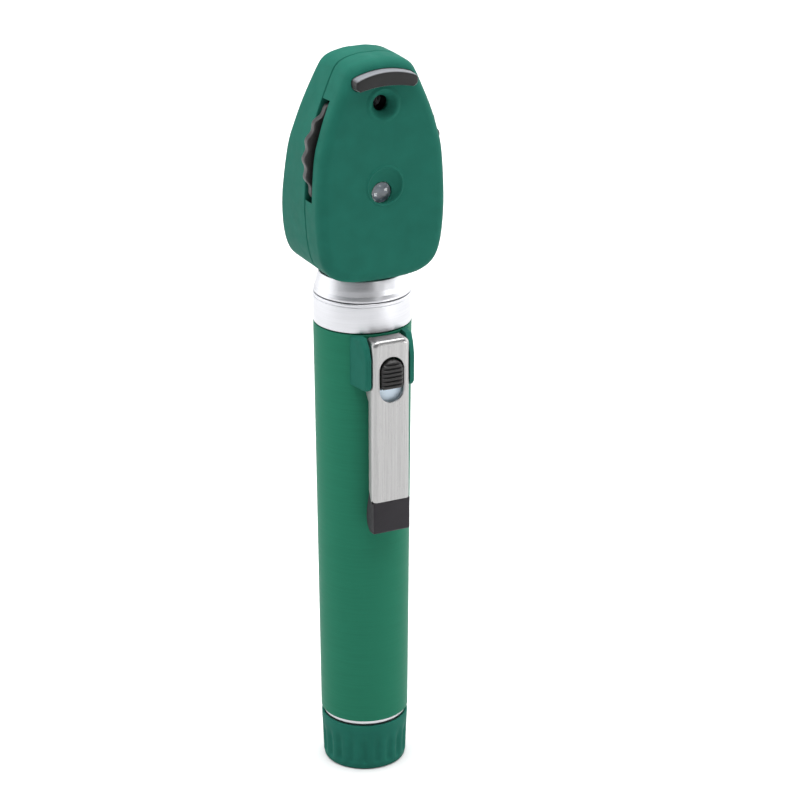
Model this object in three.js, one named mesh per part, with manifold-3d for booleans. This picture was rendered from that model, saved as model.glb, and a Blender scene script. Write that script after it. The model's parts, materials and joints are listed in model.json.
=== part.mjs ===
// Hand-held direct ophthalmoscope: battery handle with pocket clip and slide switch, and a
// turn-off head with a lens wheel and an aperture wheel. Millimetres, +Z up along the handle,
// origin at the centre of the end cap's flat bottom, examiner's side and clip towards -Y.

import * as THREE from "three";
import { mergeVertices } from "three/addons/utils/BufferGeometryUtils.js";
import Module from "manifold-3d";

const wasm = await Module();
wasm.setup();

// ---- Driving dimensions -------------------------------------------------------------------

const GAP = 0.3;
const ROUND_SIDES = 32;
const SMALL_SIDES = 12;

// Handle
const CAP_HEIGHT = 11.4;
const CAP_BOTTOM_R = 9.5;
const CAP_TOP_R = 9.9;
const CAP_FLOOR = 1.8;
const CAP_FLUTES = 24;
const SLEEVE_R = 8.75;
const SLEEVE_BORE_R = 7.8;
const SLEEVE_TOP_Z = 17.8;
const BARREL_BOTTOM_Z = 12.1;
const BARREL_TOP_Z = 106.6;
const BARREL_BOTTOM_R = 9.93;
const BARREL_TOP_R = 10.78;
const BORE_R = 8.1;
const CELL_R = 7.1;
const CELL_LENGTH = 50.5;
const CELL_NUB = 1.3;
const CELL_START_Z = 6.8;
const SPRING_R = 4.6;
const SPRING_WIRE_R = 0.35;
const COLLAR_BOTTOM_Z = 106.9;
const COLLAR_TOP_Z = 113.5;
const COLLAR_SEAT_Z = 109.3;
const COLLAR_SPIGOT_R = 9.0;
const COLLAR_SPIGOT_Z = 101.1;

// Head joint: spigot with two bayonet lugs
const SPIGOT_R = 8.6;
const SPIGOT_BORE_R = 7.6;
const SPIGOT_BOTTOM_Z = 109.7;
const LUG_R = 9.5;
const LUG_BOTTOM_Z = 110.3;
const LUG_HEIGHT = 1.6;
const LUG_ANGLE = 20;
const TWIST_ANGLE = 30;

// Clip, switch and their bracket
const CLIP_FACE_Y = -14.85;
const CLIP_HALF_WIDTH = 4.32;
const STEEL = 0.8;
const CLIP_TOP_Z = 106.5;
const CLIP_BOTTOM_Z = 69.1;
const FOOT_BOTTOM_Z = 61.95;
const PIVOT_Y = -12.4;
const PIVOT_Z = 104.3;
const PIN_R = 0.6;
const SLOT_HALF_WIDTH = 2.85;
const SLOT_BOTTOM_Z = 92.1;
const SLOT_TOP_Z = 102.6;
const BUTTON_HALF_WIDTH = 2.5;
const BUTTON_BOTTOM_Z = 95.4;
const BUTTON_TOP_Z = 102;
const BUTTON_FRONT_Y = -15.9;
const BUTTON_RIBS = 7;
const STEM_BOTTOM_Z = 97.8;
const STEM_TOP_Z = 99.8;
const SWITCH_TRAVEL = 1.7;
const POCKET_BOTTOM_Z = 92.5;
const POCKET_TOP_Z = 100.4;
const EAR_INNER_X = 4.65;
const EAR_BOTTOM_Z = 94.9;
const BRIDGE_BOTTOM_Z = 96.3;
const BRIDGE_TOP_Z = 102.6;

// Head casing
const HEAD_FRONT_Y = -11.1;
const SEAM_Y = -3.9;
const HEAD_BACK_Y = 11.1;
const HEAD_BOTTOM_Z = 118.4;
const HEAD_TOP_Z = 166.85;
const HEAD_HALF_WIDTH = 15;
const WALL = 1.8;
const EDGE_ROUND = 2.2;
const BACK_SLOPE_Z = 130;
const BACK_TILT = THREE.MathUtils.degToRad(10);
const NECK_R = 8;
const FLANGE_R = 8.9;
const FLANGE_BOTTOM_Z = 121.2;
const SIGHT_Z = 157.3;
const READOUT_Z = 138;

// Wheels and light path
const WHEEL_Z = 145;
const WHEEL_Y = -5.6;
const WHEEL_THICKNESS = 2.6;
const WHEEL_R = 15.9;
const WHEEL_SCALLOPS = 24;
const LENS_POSITIONS = 16;
const LENS_PITCH_R = SIGHT_Z - WHEEL_Z;
const LENS_R = 1.45;
const LIGHT_Y = 1;
const TUBE_R = 4.2;
const TUBE_BORE_R = 3.3;
const TUBE_BOTTOM_Z = 125;
const TUBE_TOP_Z = 149;
const APERTURE_Y = 5.3;
const APERTURE_Z = 132.2;
const APERTURE_SLOT_HALF = 6.7;
const WINDOW_Z = 156;
const BROW_HALF_LENGTH = 5.5;
const BROW_Z = 163.2;
const PEG_X = 4.2;
const PEG_Z = 162.9;
const APERTURE_R = 7.2;
const APERTURE_SCALLOPS = 20;
const APERTURE_PITCH_R = APERTURE_Y - LIGHT_Y;
const MIRROR_Z = 153;
const POST_X = 9.5;
const POST_Z = 127;
const TOP_POST_Z = 163.4;

// ---- Solid helpers ------------------------------------------------------------------------

function toSolid(geometry) {
  const bare = geometry.clone();
  bare.deleteAttribute("normal");
  bare.deleteAttribute("uv");
  const merged = mergeVertices(bare, 1e-4);
  const mesh = new wasm.Mesh({
    numProp: 3,
    vertProperties: merged.attributes.position.array,
    triVerts: Uint32Array.from(merged.index.array),
  });
  return new wasm.Manifold(mesh);
}

function toGeometry(solid) {
  const mesh = solid.getMesh();
  const geometry = new THREE.BufferGeometry();
  geometry.setAttribute("position", new THREE.BufferAttribute(mesh.vertProperties, 3));
  geometry.setIndex(new THREE.BufferAttribute(mesh.triVerts, 1));
  geometry.computeVertexNormals();
  return geometry;
}

function join(...geometries) {
  return toGeometry(geometries.map(toSolid).reduce((sum, solid) => sum.add(solid)));
}

function cut(geometry, ...tools) {
  return toGeometry(tools.map(toSolid).reduce((rest, tool) => rest.subtract(tool), toSolid(geometry)));
}

function common(geometry, ...others) {
  return toGeometry(others.map(toSolid).reduce((rest, other) => rest.intersect(other), toSolid(geometry)));
}

function block(x0, x1, y0, y1, z0, z1) {
  const box = new THREE.BoxGeometry(x1 - x0, y1 - y0, z1 - z0);
  return box.translate((x0 + x1) / 2, (y0 + y1) / 2, (z0 + z1) / 2);
}

function rodX(radius, y, z, x0, x1, sides = SMALL_SIDES) {
  const rod = new THREE.CylinderGeometry(radius, radius, x1 - x0, sides);
  return rod.rotateZ(Math.PI / 2).translate((x0 + x1) / 2, y, z);
}

function rodY(radius, x, z, y0, y1, sides = SMALL_SIDES) {
  const rod = new THREE.CylinderGeometry(radius, radius, y1 - y0, sides);
  return rod.translate(x, (y0 + y1) / 2, z);
}

function rodZ(radius, x, y, z0, z1, sides = SMALL_SIDES) {
  const rod = new THREE.CylinderGeometry(radius, radius, z1 - z0, sides);
  return rod.rotateX(Math.PI / 2).translate(x, y, (z0 + z1) / 2);
}

// Turned piece about Z; the profile is a list of [radius, z] that runs upwards on its outside.
function turned(profile, sides = ROUND_SIDES) {
  const points = profile.map(([radius, z]) => new THREE.Vector2(radius, z));
  return new THREE.LatheGeometry(points, sides).rotateX(Math.PI / 2);
}

// Turned ring or tube: the profile closes on itself.
function turnedRing(profile, sides = ROUND_SIDES) {
  return turned([...profile, profile[0]], sides);
}

function polygon(points) {
  return new THREE.Shape(points.map(([u, v]) => new THREE.Vector2(u, v)));
}

// Outline in the XZ plane, thickened along Y from y0 to y1.
function slabY(shape, y0, y1, curveSegments = 6) {
  const slab = new THREE.ExtrudeGeometry(shape, { depth: y1 - y0, bevelEnabled: false, curveSegments });
  return slab.rotateX(Math.PI / 2).translate(0, y1, 0);
}

// Outline in the YZ plane, thickened along X from x0 to x1.
function slabX(shape, x0, x1, curveSegments = 6) {
  const slab = new THREE.ExtrudeGeometry(shape, { depth: x1 - x0, bevelEnabled: false, curveSegments });
  const turn = new THREE.Matrix4().makeBasis(
    new THREE.Vector3(0, 1, 0),
    new THREE.Vector3(0, 0, 1),
    new THREE.Vector3(1, 0, 0),
  );
  return slab.applyMatrix4(turn).translate(x0, 0, 0);
}

function slabZ(shape, z0, z1, curveSegments = 6) {
  const slab = new THREE.ExtrudeGeometry(shape, { depth: z1 - z0, bevelEnabled: false, curveSegments });
  return slab.translate(0, 0, z0);
}

// Upright oval with round ends, between two heights.
function oval(halfWidth, bottom, top) {
  const shape = new THREE.Shape();
  shape.absarc(0, top - halfWidth, halfWidth, 0, Math.PI);
  shape.absarc(0, bottom + halfWidth, halfWidth, Math.PI, 2 * Math.PI);
  return shape;
}

// Wheel outline whose rim rises and falls as a wave.
function scalloped(radius, wave, count, stepsPerWave = 4) {
  const steps = count * stepsPerWave;
  const points = Array.from({ length: steps }, (_, i) => {
    const angle = (i * 2 * Math.PI) / steps;
    const r = radius + wave * Math.cos(count * angle);
    return [r * Math.cos(angle), r * Math.sin(angle)];
  });
  return polygon(points);
}

function roundHole(shape, radius, x, y) {
  const hole = new THREE.Path();
  hole.absarc(x, y, radius, 0, 2 * Math.PI, true);
  shape.holes.push(hole);
}

// Ring sector between two radii, centred on an angle in degrees.
function sector(innerR, outerR, fromAngle, toAngle, z0, z1) {
  const a = THREE.MathUtils.degToRad(fromAngle);
  const b = THREE.MathUtils.degToRad(toAngle);
  const shape = new THREE.Shape();
  shape.absarc(0, 0, outerR, a, b, false);
  shape.absarc(0, 0, innerR, b, a, true);
  return slabZ(shape, z0, z1);
}

function barrelRadius(z) {
  const share = (z - BARREL_BOTTOM_Z) / (BARREL_TOP_Z - BARREL_BOTTOM_Z);
  return BARREL_BOTTOM_R + share * (BARREL_TOP_R - BARREL_BOTTOM_R);
}

// ---- Materials ----------------------------------------------------------------------------

const finish = (color, roughness, metalness) => ({ color, roughness, metalness });
const GREEN_ANODISED = finish(0x1f7a5c, 0.35, 0.8);
const GREEN_PLASTIC = finish(0x2a7560, 0.55, 0);
const SILVER = finish(0xd8d9dc, 0.25, 1);
const STAINLESS = finish(0xc4bfb8, 0.35, 1);
const BLACK_PLASTIC = finish(0x1b1b1c, 0.55, 0);
const CHARCOAL = finish(0x3b3a3d, 0.6, 0);
const RUBBER = finish(0x463e3c, 0.75, 0);
const PALE_PLASTIC = finish(0xbfcde0, 0.4, 0);
const BRASS = finish(0xb5934a, 0.3, 1);
const COPPER = finish(0xb87333, 0.3, 1);
const GLASS = finish(0xdfeef2, 0.05, 0);
const RED_FREE_GLASS = finish(0x4fae5a, 0.1, 0);
const MIRRORED = finish(0xe8ecef, 0.05, 1);
const CELL_JACKET = finish(0x3f4a5a, 0.4, 0.3);
const LAMP_WHITE = finish(0xf3f1d8, 0.3, 0);

// ---- Handle -------------------------------------------------------------------------------

function barrel() {
  const edge = 0.3;
  const threadTop = SLEEVE_TOP_Z + 0.6;
  const socketBottom = COLLAR_SPIGOT_Z - GAP;
  const body = turnedRing([
    [SLEEVE_R + GAP, BARREL_BOTTOM_Z],
    [BARREL_BOTTOM_R - edge, BARREL_BOTTOM_Z],
    [BARREL_BOTTOM_R, BARREL_BOTTOM_Z + edge],
    [BARREL_TOP_R, BARREL_TOP_Z],
    [COLLAR_SPIGOT_R + GAP, BARREL_TOP_Z],
    [COLLAR_SPIGOT_R + GAP, socketBottom],
    [BORE_R, socketBottom],
    [BORE_R, threadTop],
    [SLEEVE_R + GAP, threadTop],
  ]);
  return cut(body, block(-2.5, 2.5, -BARREL_TOP_R - 1, -6, POCKET_BOTTOM_Z, POCKET_TOP_Z));
}

function endCap() {
  const body = turned([
    [0, 0],
    [CAP_BOTTOM_R - 1, 0],
    [CAP_BOTTOM_R, 1],
    [CAP_TOP_R, CAP_HEIGHT - 0.4],
    [CAP_TOP_R - 0.3, CAP_HEIGHT],
    [SLEEVE_R + GAP, CAP_HEIGHT],
    [SLEEVE_R + GAP, CAP_FLOOR],
    [0, CAP_FLOOR],
  ], 2 * CAP_FLUTES);
  const flutes = Array.from({ length: CAP_FLUTES }, (_, i) => {
    const flute = new THREE.CylinderGeometry(0.6, 0.6, 12, 4).rotateX(Math.PI / 2);
    flute.rotateY(0.09).translate(CAP_BOTTOM_R + 0.35, 0, 4);
    return flute.rotateZ((i * 2 * Math.PI) / CAP_FLUTES);
  });
  return cut(body, ...flutes);
}

function capSleeve() {
  return turnedRing([
    [SLEEVE_BORE_R, CAP_FLOOR + GAP],
    [SLEEVE_R, CAP_FLOOR + GAP],
    [SLEEVE_R, SLEEVE_TOP_Z - 0.4],
    [SLEEVE_R - 0.4, SLEEVE_TOP_Z],
    [SLEEVE_BORE_R, SLEEVE_TOP_Z],
  ]);
}

function springSeat() {
  return turned([[0, 2.1], [7.3, 2.1], [7.3, 2.7], [0, 2.7]], 24);
}

function batterySpring() {
  const turns = 3;
  const bottom = 3 + SPRING_WIRE_R;
  const top = CELL_START_Z - GAP - SPRING_WIRE_R;
  const points = Array.from({ length: turns * 10 + 1 }, (_, i) => {
    const angle = (i * 2 * Math.PI) / 10;
    const share = i / (turns * 10);
    const radius = SPRING_R - 1.6 * share;
    const z = bottom + share * (top - bottom);
    return new THREE.Vector3(radius * Math.cos(angle), radius * Math.sin(angle), z);
  });
  return wireAlong(points, SPRING_WIRE_R, turns * 12);
}

function wireAlong(points, radius, steps) {
  const section = new THREE.Shape();
  section.absarc(0, 0, radius, 0, 2 * Math.PI);
  const path = new THREE.CatmullRomCurve3(points);
  return new THREE.ExtrudeGeometry(section, { extrudePath: path, steps, curveSegments: 3 });
}

// One AA cell standing on z = 0.
function cell() {
  const body = CELL_LENGTH - CELL_NUB;
  return turned([
    [0, 0],
    [CELL_R - 0.5, 0],
    [CELL_R, 0.4],
    [CELL_R, body - 0.5],
    [CELL_R - 0.5, body],
    [2.7, body],
    [2.7, CELL_LENGTH],
    [0, CELL_LENGTH],
  ], 28);
}

function collar() {
  const bayonetR = LUG_R + GAP;
  const grooveBottom = LUG_BOTTOM_Z - GAP;
  const grooveTop = LUG_BOTTOM_Z + LUG_HEIGHT + GAP;
  const play = 3;
  let ring = turnedRing([
    [BORE_R, COLLAR_SPIGOT_Z],
    [COLLAR_SPIGOT_R, COLLAR_SPIGOT_Z],
    [COLLAR_SPIGOT_R, COLLAR_BOTTOM_Z],
    [BARREL_TOP_R, COLLAR_BOTTOM_Z],
    [BARREL_TOP_R, COLLAR_TOP_Z - 0.2],
    [BARREL_TOP_R - 0.2, COLLAR_TOP_Z],
    [SPIGOT_R + 0.35, COLLAR_TOP_Z],
    [SPIGOT_R + 0.35, COLLAR_SEAT_Z],
    [BORE_R, COLLAR_SEAT_Z],
  ]);
  for (const start of [0, 180]) {
    const from = start - LUG_ANGLE / 2 - play;
    const to = start + LUG_ANGLE / 2 + play;
    ring = cut(
      ring,
      sector(BORE_R, bayonetR, from, to + TWIST_ANGLE, grooveBottom, grooveTop),
      sector(BORE_R, bayonetR, from + TWIST_ANGLE, to + TWIST_ANGLE, grooveBottom, COLLAR_TOP_Z + 1),
    );
  }
  return ring;
}

function contactInsulator() {
  return turnedRing([
    [3.4, 108.4],
    [BORE_R - GAP, 108.4],
    [BORE_R - GAP, 109.3],
    [SPIGOT_BORE_R - 0.4, 109.3],
    [SPIGOT_BORE_R - 0.4, 111.3],
    [1.6, 111.3],
    [1.6, 109.4],
    [3.4, 109.4],
  ], 32);
}

function contactDisc() {
  return turned([[0, 108.4], [3, 108.4], [3, 109], [1.2, 109], [1.2, 112], [0, 112]], 20);
}

function switchStrip() {
  return block(-1.2, 1.2, -7.75, -7.4, 93, 108);
}

// ---- Clip, switch and bracket -------------------------------------------------------------

// Plan of one ear, from the barrel forward; the outside leans in towards the front edge.
function earPlan(side) {
  const seat = BARREL_TOP_R + GAP;
  const inner = Math.sqrt(seat * seat - EAR_INNER_X * EAR_INNER_X);
  const outer = Math.sqrt(seat * seat - 6.9 * 6.9);
  const plan = [[EAR_INNER_X, -inner], [EAR_INNER_X, -14.2], [5.5, -14.2], [5.8, -13.8], [6.9, -outer]];
  return polygon(plan.map(([x, y]) => [side * x, y]));
}

function switchBracket() {
  const seat = BARREL_TOP_R + GAP;
  const baseFrontY = -12;
  const earTopZ = BARREL_TOP_Z;
  const sideView = polygon([
    [-9, EAR_BOTTOM_Z],
    [-13.4, EAR_BOTTOM_Z],
    [-14.2, EAR_BOTTOM_Z + 0.9],
    [-14.2, 102.8],
    [-13.6, 104.6],
    [-12.3, 106.2],
    [-11.7, earTopZ],
    [-9, earTopZ],
  ]);
  const ears = [-1, 1].map((side) =>
    common(slabZ(earPlan(side), EAR_BOTTOM_Z - 1, earTopZ + 1), slabX(sideView, -9, 9)));
  const seatRound = rodZ(seat, 0, 0, 80, 120, 48);
  const base = cut(block(-3.2, 3.2, baseFrontY, -8.5, 91.4, BRIDGE_TOP_Z), seatRound);
  const bridge = cut(block(-5.2, 5.2, -11.35, -8.5, BRIDGE_BOTTOM_Z, BRIDGE_TOP_Z), seatRound);
  const foot = block(-2.2, 2.2, baseFrontY, -8.9, POCKET_BOTTOM_Z + GAP, POCKET_TOP_Z - GAP);
  const joined = join(...ears, base, bridge, foot);
  return cut(
    joined,
    block(-1.5, 1.5, -16, -6, STEM_BOTTOM_Z - SWITCH_TRAVEL - GAP, STEM_TOP_Z + GAP),
    rodX(PIN_R + 0.35, PIVOT_Y, PIVOT_Z, -5.3, 5.3, 12),
  );
}

function indicatorPlate() {
  return block(-3, 3, -13.5, -12.3, 91.4, STEM_BOTTOM_Z - SWITCH_TRAVEL - GAP);
}

function switchButton() {
  const r = BUTTON_HALF_WIDTH;
  const face = new THREE.Shape();
  face.moveTo(-r, BUTTON_BOTTOM_Z);
  face.lineTo(r, BUTTON_BOTTOM_Z);
  face.lineTo(r, BUTTON_TOP_Z - r);
  face.absarc(0, BUTTON_TOP_Z - r, r, 0, Math.PI);
  const body = slabY(face, BUTTON_FRONT_Y, -13.8);
  const stem = block(-1.2, 1.2, -13.9, -8.9, STEM_BOTTOM_Z, STEM_TOP_Z);
  const pitch = (BUTTON_TOP_Z - BUTTON_BOTTOM_Z) / BUTTON_RIBS;
  const grooves = Array.from({ length: BUTTON_RIBS - 1 }, (_, i) => {
    const z = BUTTON_BOTTOM_Z + (i + 1) * pitch;
    return block(-r - 1, r + 1, BUTTON_FRONT_Y - 1, BUTTON_FRONT_Y + 0.5, z - 0.22, z + 0.22);
  });
  return cut(join(body, stem), ...grooves);
}

function switchContact() {
  return block(-1.2, 1.2, -8.55, -8.15, STEM_BOTTOM_Z - 0.6, STEM_TOP_Z + 0.2);
}

// Folded steel channel; its flanges are notched where the bracket's bridge passes behind them.
function clipBlade() {
  const half = CLIP_HALF_WIDTH;
  const rear = CLIP_FACE_Y + 3.9;
  const outside = polygon([
    [CLIP_FACE_Y, CLIP_BOTTOM_Z],
    [CLIP_FACE_Y + 2.2, CLIP_BOTTOM_Z],
    [rear - 0.7, CLIP_BOTTOM_Z + 2.4],
    [rear - 0.7, 92.2],
    [rear, 93.4],
    [rear, BRIDGE_BOTTOM_Z - 0.7],
    [rear - 0.7, BRIDGE_BOTTOM_Z - GAP],
    [rear - 0.7, BRIDGE_TOP_Z + GAP],
    [rear, BRIDGE_TOP_Z + 0.7],
    [rear, CLIP_TOP_Z],
    [CLIP_FACE_Y + 1, CLIP_TOP_Z],
    [CLIP_FACE_Y + 0.3, CLIP_TOP_Z - 0.4],
    [CLIP_FACE_Y, CLIP_TOP_Z - 1.2],
  ]);
  const body = slabX(outside, -half, half);
  const corner = 0.8;
  const plan = polygon([
    [-half, 0],
    [-half, CLIP_FACE_Y + corner],
    [-half + 0.25, CLIP_FACE_Y + 0.25],
    [-half + corner, CLIP_FACE_Y],
    [half - corner, CLIP_FACE_Y],
    [half - 0.25, CLIP_FACE_Y + 0.25],
    [half, CLIP_FACE_Y + corner],
    [half, 0],
  ]);
  const rounded = common(body, slabZ(plan, CLIP_BOTTOM_Z - 1, CLIP_TOP_Z + 1));
  const inside = half - STEEL;
  const hollow = block(-inside, inside, CLIP_FACE_Y + STEEL, 0, CLIP_BOTTOM_Z - 1, CLIP_TOP_Z - STEEL);
  return cut(
    rounded,
    hollow,
    slabY(oval(SLOT_HALF_WIDTH, SLOT_BOTTOM_Z, SLOT_TOP_Z), CLIP_FACE_Y - 1, CLIP_FACE_Y + 2, 8),
    rodX(PIN_R + 0.35, PIVOT_Y, PIVOT_Z, -half - 1, half + 1, 12),
  );
}

function clipFoot() {
  const rear = -barrelRadius(65) - GAP;
  const side = polygon([
    [CLIP_FACE_Y, CLIP_BOTTOM_Z - GAP],
    [CLIP_FACE_Y, FOOT_BOTTOM_Z + 0.6],
    [CLIP_FACE_Y + 0.6, FOOT_BOTTOM_Z],
    [rear - 1.9, FOOT_BOTTOM_Z],
    [rear - 0.6, FOOT_BOTTOM_Z + 1],
    [rear, FOOT_BOTTOM_Z + 2.8],
    [rear, FOOT_BOTTOM_Z + 4.4],
    [rear - 0.6, FOOT_BOTTOM_Z + 6],
    [rear - 1.6, CLIP_BOTTOM_Z - GAP],
  ]);
  const body = slabX(side, -4.1, 4.1);
  const tongue = block(-3.2, 3.2, CLIP_FACE_Y + STEEL + GAP, -12.7, CLIP_BOTTOM_Z - 1, CLIP_BOTTOM_Z + 3.4);
  return join(body, tongue);
}

function clipPin() {
  return rodX(PIN_R, PIVOT_Y, PIVOT_Z, -5, 5, 12);
}

function clipSpring() {
  const radius = 0.92;
  const turns = 4;
  const steps = turns * 8;
  const coil = Array.from({ length: steps + 1 }, (_, i) => {
    const angle = Math.PI + (i * 2 * Math.PI) / 8;
    const x = -2.4 + (4.8 * i) / steps;
    return new THREE.Vector3(x, PIVOT_Y + radius * Math.cos(angle), PIVOT_Z + radius * Math.sin(angle));
  });
  return wireAlong(coil, 0.17, turns * 10);
}

// ---- Head casing --------------------------------------------------------------------------

// Egg-shaped outline of the head in the XZ plane, drawn in by an inset.
function headOutline(inset = 0) {
  const midZ = (HEAD_TOP_Z + HEAD_BOTTOM_Z) / 2;
  const wide = (HEAD_HALF_WIDTH - inset) / HEAD_HALF_WIDTH;
  const tall = (HEAD_TOP_Z - HEAD_BOTTOM_Z - 2 * inset) / (HEAD_TOP_Z - HEAD_BOTTOM_Z);
  const at = (x, z) => new THREE.Vector2(x * wide, midZ + (z - midZ) * tall);
  const right = [
    [4.3, 118.5],
    [7.2, 118.8],
    [9.5, 119.35],
    [11.6, 120.5],
    [13.2, 122.4],
    [14.25, 125.6],
    [HEAD_HALF_WIDTH, 136],
    [14.4, 145.8],
    [11.9, 155],
    [9.1, 161.5],
    [7.6, 164.3],
    [6.3, 165.4],
    [3.6, 166.3],
  ];
  const shape = new THREE.Shape();
  const left = [...right].reverse().map(([x, z]) => [-x, z]);
  shape.moveTo(0, at(0, HEAD_BOTTOM_Z).y);
  shape.splineThru([...right, [0, HEAD_TOP_Z], ...left, [0, HEAD_BOTTOM_Z]].map(([x, z]) => at(x, z)));
  return shape;
}

function outlinePoints(inset, divisions = 40) {
  const points = headOutline(inset).getSpacedPoints(divisions);
  return new THREE.Shape(points.slice(0, divisions));
}

// Casing block with one rounded face at y0.
function roundedCasing(y0, y1) {
  const steps = 3;
  const layers = Array.from({ length: steps }, (_, i) => {
    const angle = ((i + 0.5) / steps) * (Math.PI / 2);
    const inset = EDGE_ROUND * (1 - Math.sin(angle));
    const depth = EDGE_ROUND * (1 - Math.cos(angle));
    return slabY(outlinePoints(inset), y0 + depth, y1);
  });
  return join(...layers, slabY(outlinePoints(EDGE_ROUND), y0, y1));
}

// Opening for the neck, with a wider ring above it for the neck's flange.
function neckRoom() {
  return [
    rodZ(NECK_R + GAP, 0, 0, HEAD_BOTTOM_Z - 2, FLANGE_BOTTOM_Z, ROUND_SIDES),
    rodZ(FLANGE_R + GAP, 0, 0, FLANGE_BOTTOM_Z - GAP, FLANGE_BOTTOM_Z + 2, ROUND_SIDES),
  ];
}

function examinerShell() {
  const outer = roundedCasing(HEAD_FRONT_Y, SEAM_Y);
  const cavity = slabY(outlinePoints(WALL), HEAD_FRONT_Y + WALL, SEAM_Y + 1);
  const posts = [-1, 1].map((side) => rodY(2.3, side * POST_X, POST_Z, HEAD_FRONT_Y + 1, SEAM_Y - GAP));
  const topPost = rodY(2.3, 0, TOP_POST_Z, HEAD_FRONT_Y + 1, SEAM_Y - GAP);
  const bosses = [
    rodY(4.4, 0, SIGHT_Z, HEAD_FRONT_Y + 1, -7.6, 16),
    rodY(5, 0, READOUT_Z + 1.2, HEAD_FRONT_Y + 1, -8, 16),
  ];
  const hollow = cut(outer, cavity);
  const filled = common(join(hollow, ...posts, topPost, ...bosses), outer);
  const sightDish = new THREE.CylinderGeometry(3, 1.5, 2, 16);
  sightDish.rotateX(Math.PI).translate(0, HEAD_FRONT_Y + 1, SIGHT_Z);
  const scoop = new THREE.SphereGeometry(6, 20, 12).translate(0, HEAD_FRONT_Y - 4.4, READOUT_Z + 1.9);
  const wheelRoom = rodY(WHEEL_R + 0.7, 0, WHEEL_Z, -7.4, SEAM_Y + 1, 48);
  const screwHoles = [[-POST_X, POST_Z], [POST_X, POST_Z], [0, TOP_POST_Z]].map(([x, z]) =>
    rodY(1.1, x, z, -9, SEAM_Y + 1, 12));
  const pegHoles = [-1, 1].map((side) => rodY(1.1, side * PEG_X, PEG_Z, -12, -8, 12));
  return cut(
    filled,
    sightDish,
    rodY(1.5, 0, SIGHT_Z, -12, -7, 16),
    scoop,
    rodY(2.55, 0, READOUT_Z, -12, -7, 16),
    wheelRoom,
    ...neckRoom(),
    ...screwHoles,
    ...pegHoles,
  );
}

// Side view of the rear half: the back leans in above BACK_SLOPE_Z, up to a bevel at the top.
function rearSide(inset) {
  const lean = Math.tan(BACK_TILT);
  const back = HEAD_BACK_Y - inset;
  const topZ = 164.2 - inset / 2;
  return polygon([
    [SEAM_Y - 2, HEAD_BOTTOM_Z - 2 + inset],
    [back, HEAD_BOTTOM_Z - 2 + inset],
    [back, BACK_SLOPE_Z],
    [back - (topZ - BACK_SLOPE_Z) * lean, topZ],
    [2.6 - inset / 2, HEAD_TOP_Z + 0.2 - inset],
    [SEAM_Y - 2, HEAD_TOP_Z + 0.2 - inset],
  ]);
}

// Plate or opening that lies in the leaning back wall, from one depth below the skin to another.
function inBackWall(width, height, z, outer, inner) {
  const plate = new THREE.BoxGeometry(width, inner - outer, height);
  plate.translate(0, -(inner + outer) / 2, 0).rotateX(BACK_TILT);
  return plate.translate(0, HEAD_BACK_Y - (z - BACK_SLOPE_Z) * Math.tan(BACK_TILT), z);
}

function patientShell() {
  const front = SEAM_Y + GAP;
  const outer = common(slabY(outlinePoints(0), front, HEAD_BACK_Y), slabX(rearSide(0), -20, 20));
  const cavity = common(slabY(outlinePoints(WALL), front - 1, HEAD_BACK_Y), slabX(rearSide(WALL), -20, 20));
  const posts = [
    rodY(3, -POST_X, POST_Z, 0.2, HEAD_BACK_Y),
    rodY(3, POST_X, POST_Z, 0.2, HEAD_BACK_Y),
    rodY(2.4, 0, TOP_POST_Z, 0.2, HEAD_BACK_Y),
  ];
  const filled = common(join(cut(outer, cavity), ...posts), outer);
  const wells = [[-POST_X, POST_Z], [POST_X, POST_Z], [0, TOP_POST_Z]].flatMap(([x, z]) => [
    rodY(1.8, x, z, 1.4, HEAD_BACK_Y + 1),
    rodY(1.1, x, z, 0, 3, 12),
  ]);
  return cut(
    filled,
    ...wells,
    ...neckRoom(),
    block(-APERTURE_SLOT_HALF, APERTURE_SLOT_HALF, 8, 14, APERTURE_Z - 1.4, APERTURE_Z + 1.4),
    inBackWall(8.2, 9.6, WINDOW_Z, -1, 1.2),
    inBackWall(6.2, 7.6, WINDOW_Z, -1, 4),
  );
}

function windowPlate() {
  return inBackWall(7.6, 9, WINDOW_Z, 0.2, 0.9);
}

function browRest() {
  const radius = 25;
  const half = Math.asin(BROW_HALF_LENGTH / radius);
  const thick = 1.3;
  const centreZ = BROW_Z - radius;
  const up = Math.PI / 2;
  const bar = new THREE.Shape();
  bar.absarc(0, centreZ, radius + thick, up - half, up + half, false);
  bar.absarc(-radius * Math.sin(half), centreZ + radius * Math.cos(half), thick, up + half, 3 * up + half);
  bar.absarc(0, centreZ, radius - thick, up + half, up - half, true);
  bar.absarc(radius * Math.sin(half), centreZ + radius * Math.cos(half), thick, -up - half, up - half);
  const pegs = [-1, 1].map((side) => rodY(0.8, side * PEG_X, PEG_Z, -12, -9, 12));
  return join(slabY(bar, -13, HEAD_FRONT_Y - GAP), ...pegs);
}

function readoutLens() {
  return turned([[0, -0.7], [2.2, -0.7], [2.2, 0.2], [1.6, 0.6], [0.8, 0.8], [0, 0.85]], 24);
}

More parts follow.
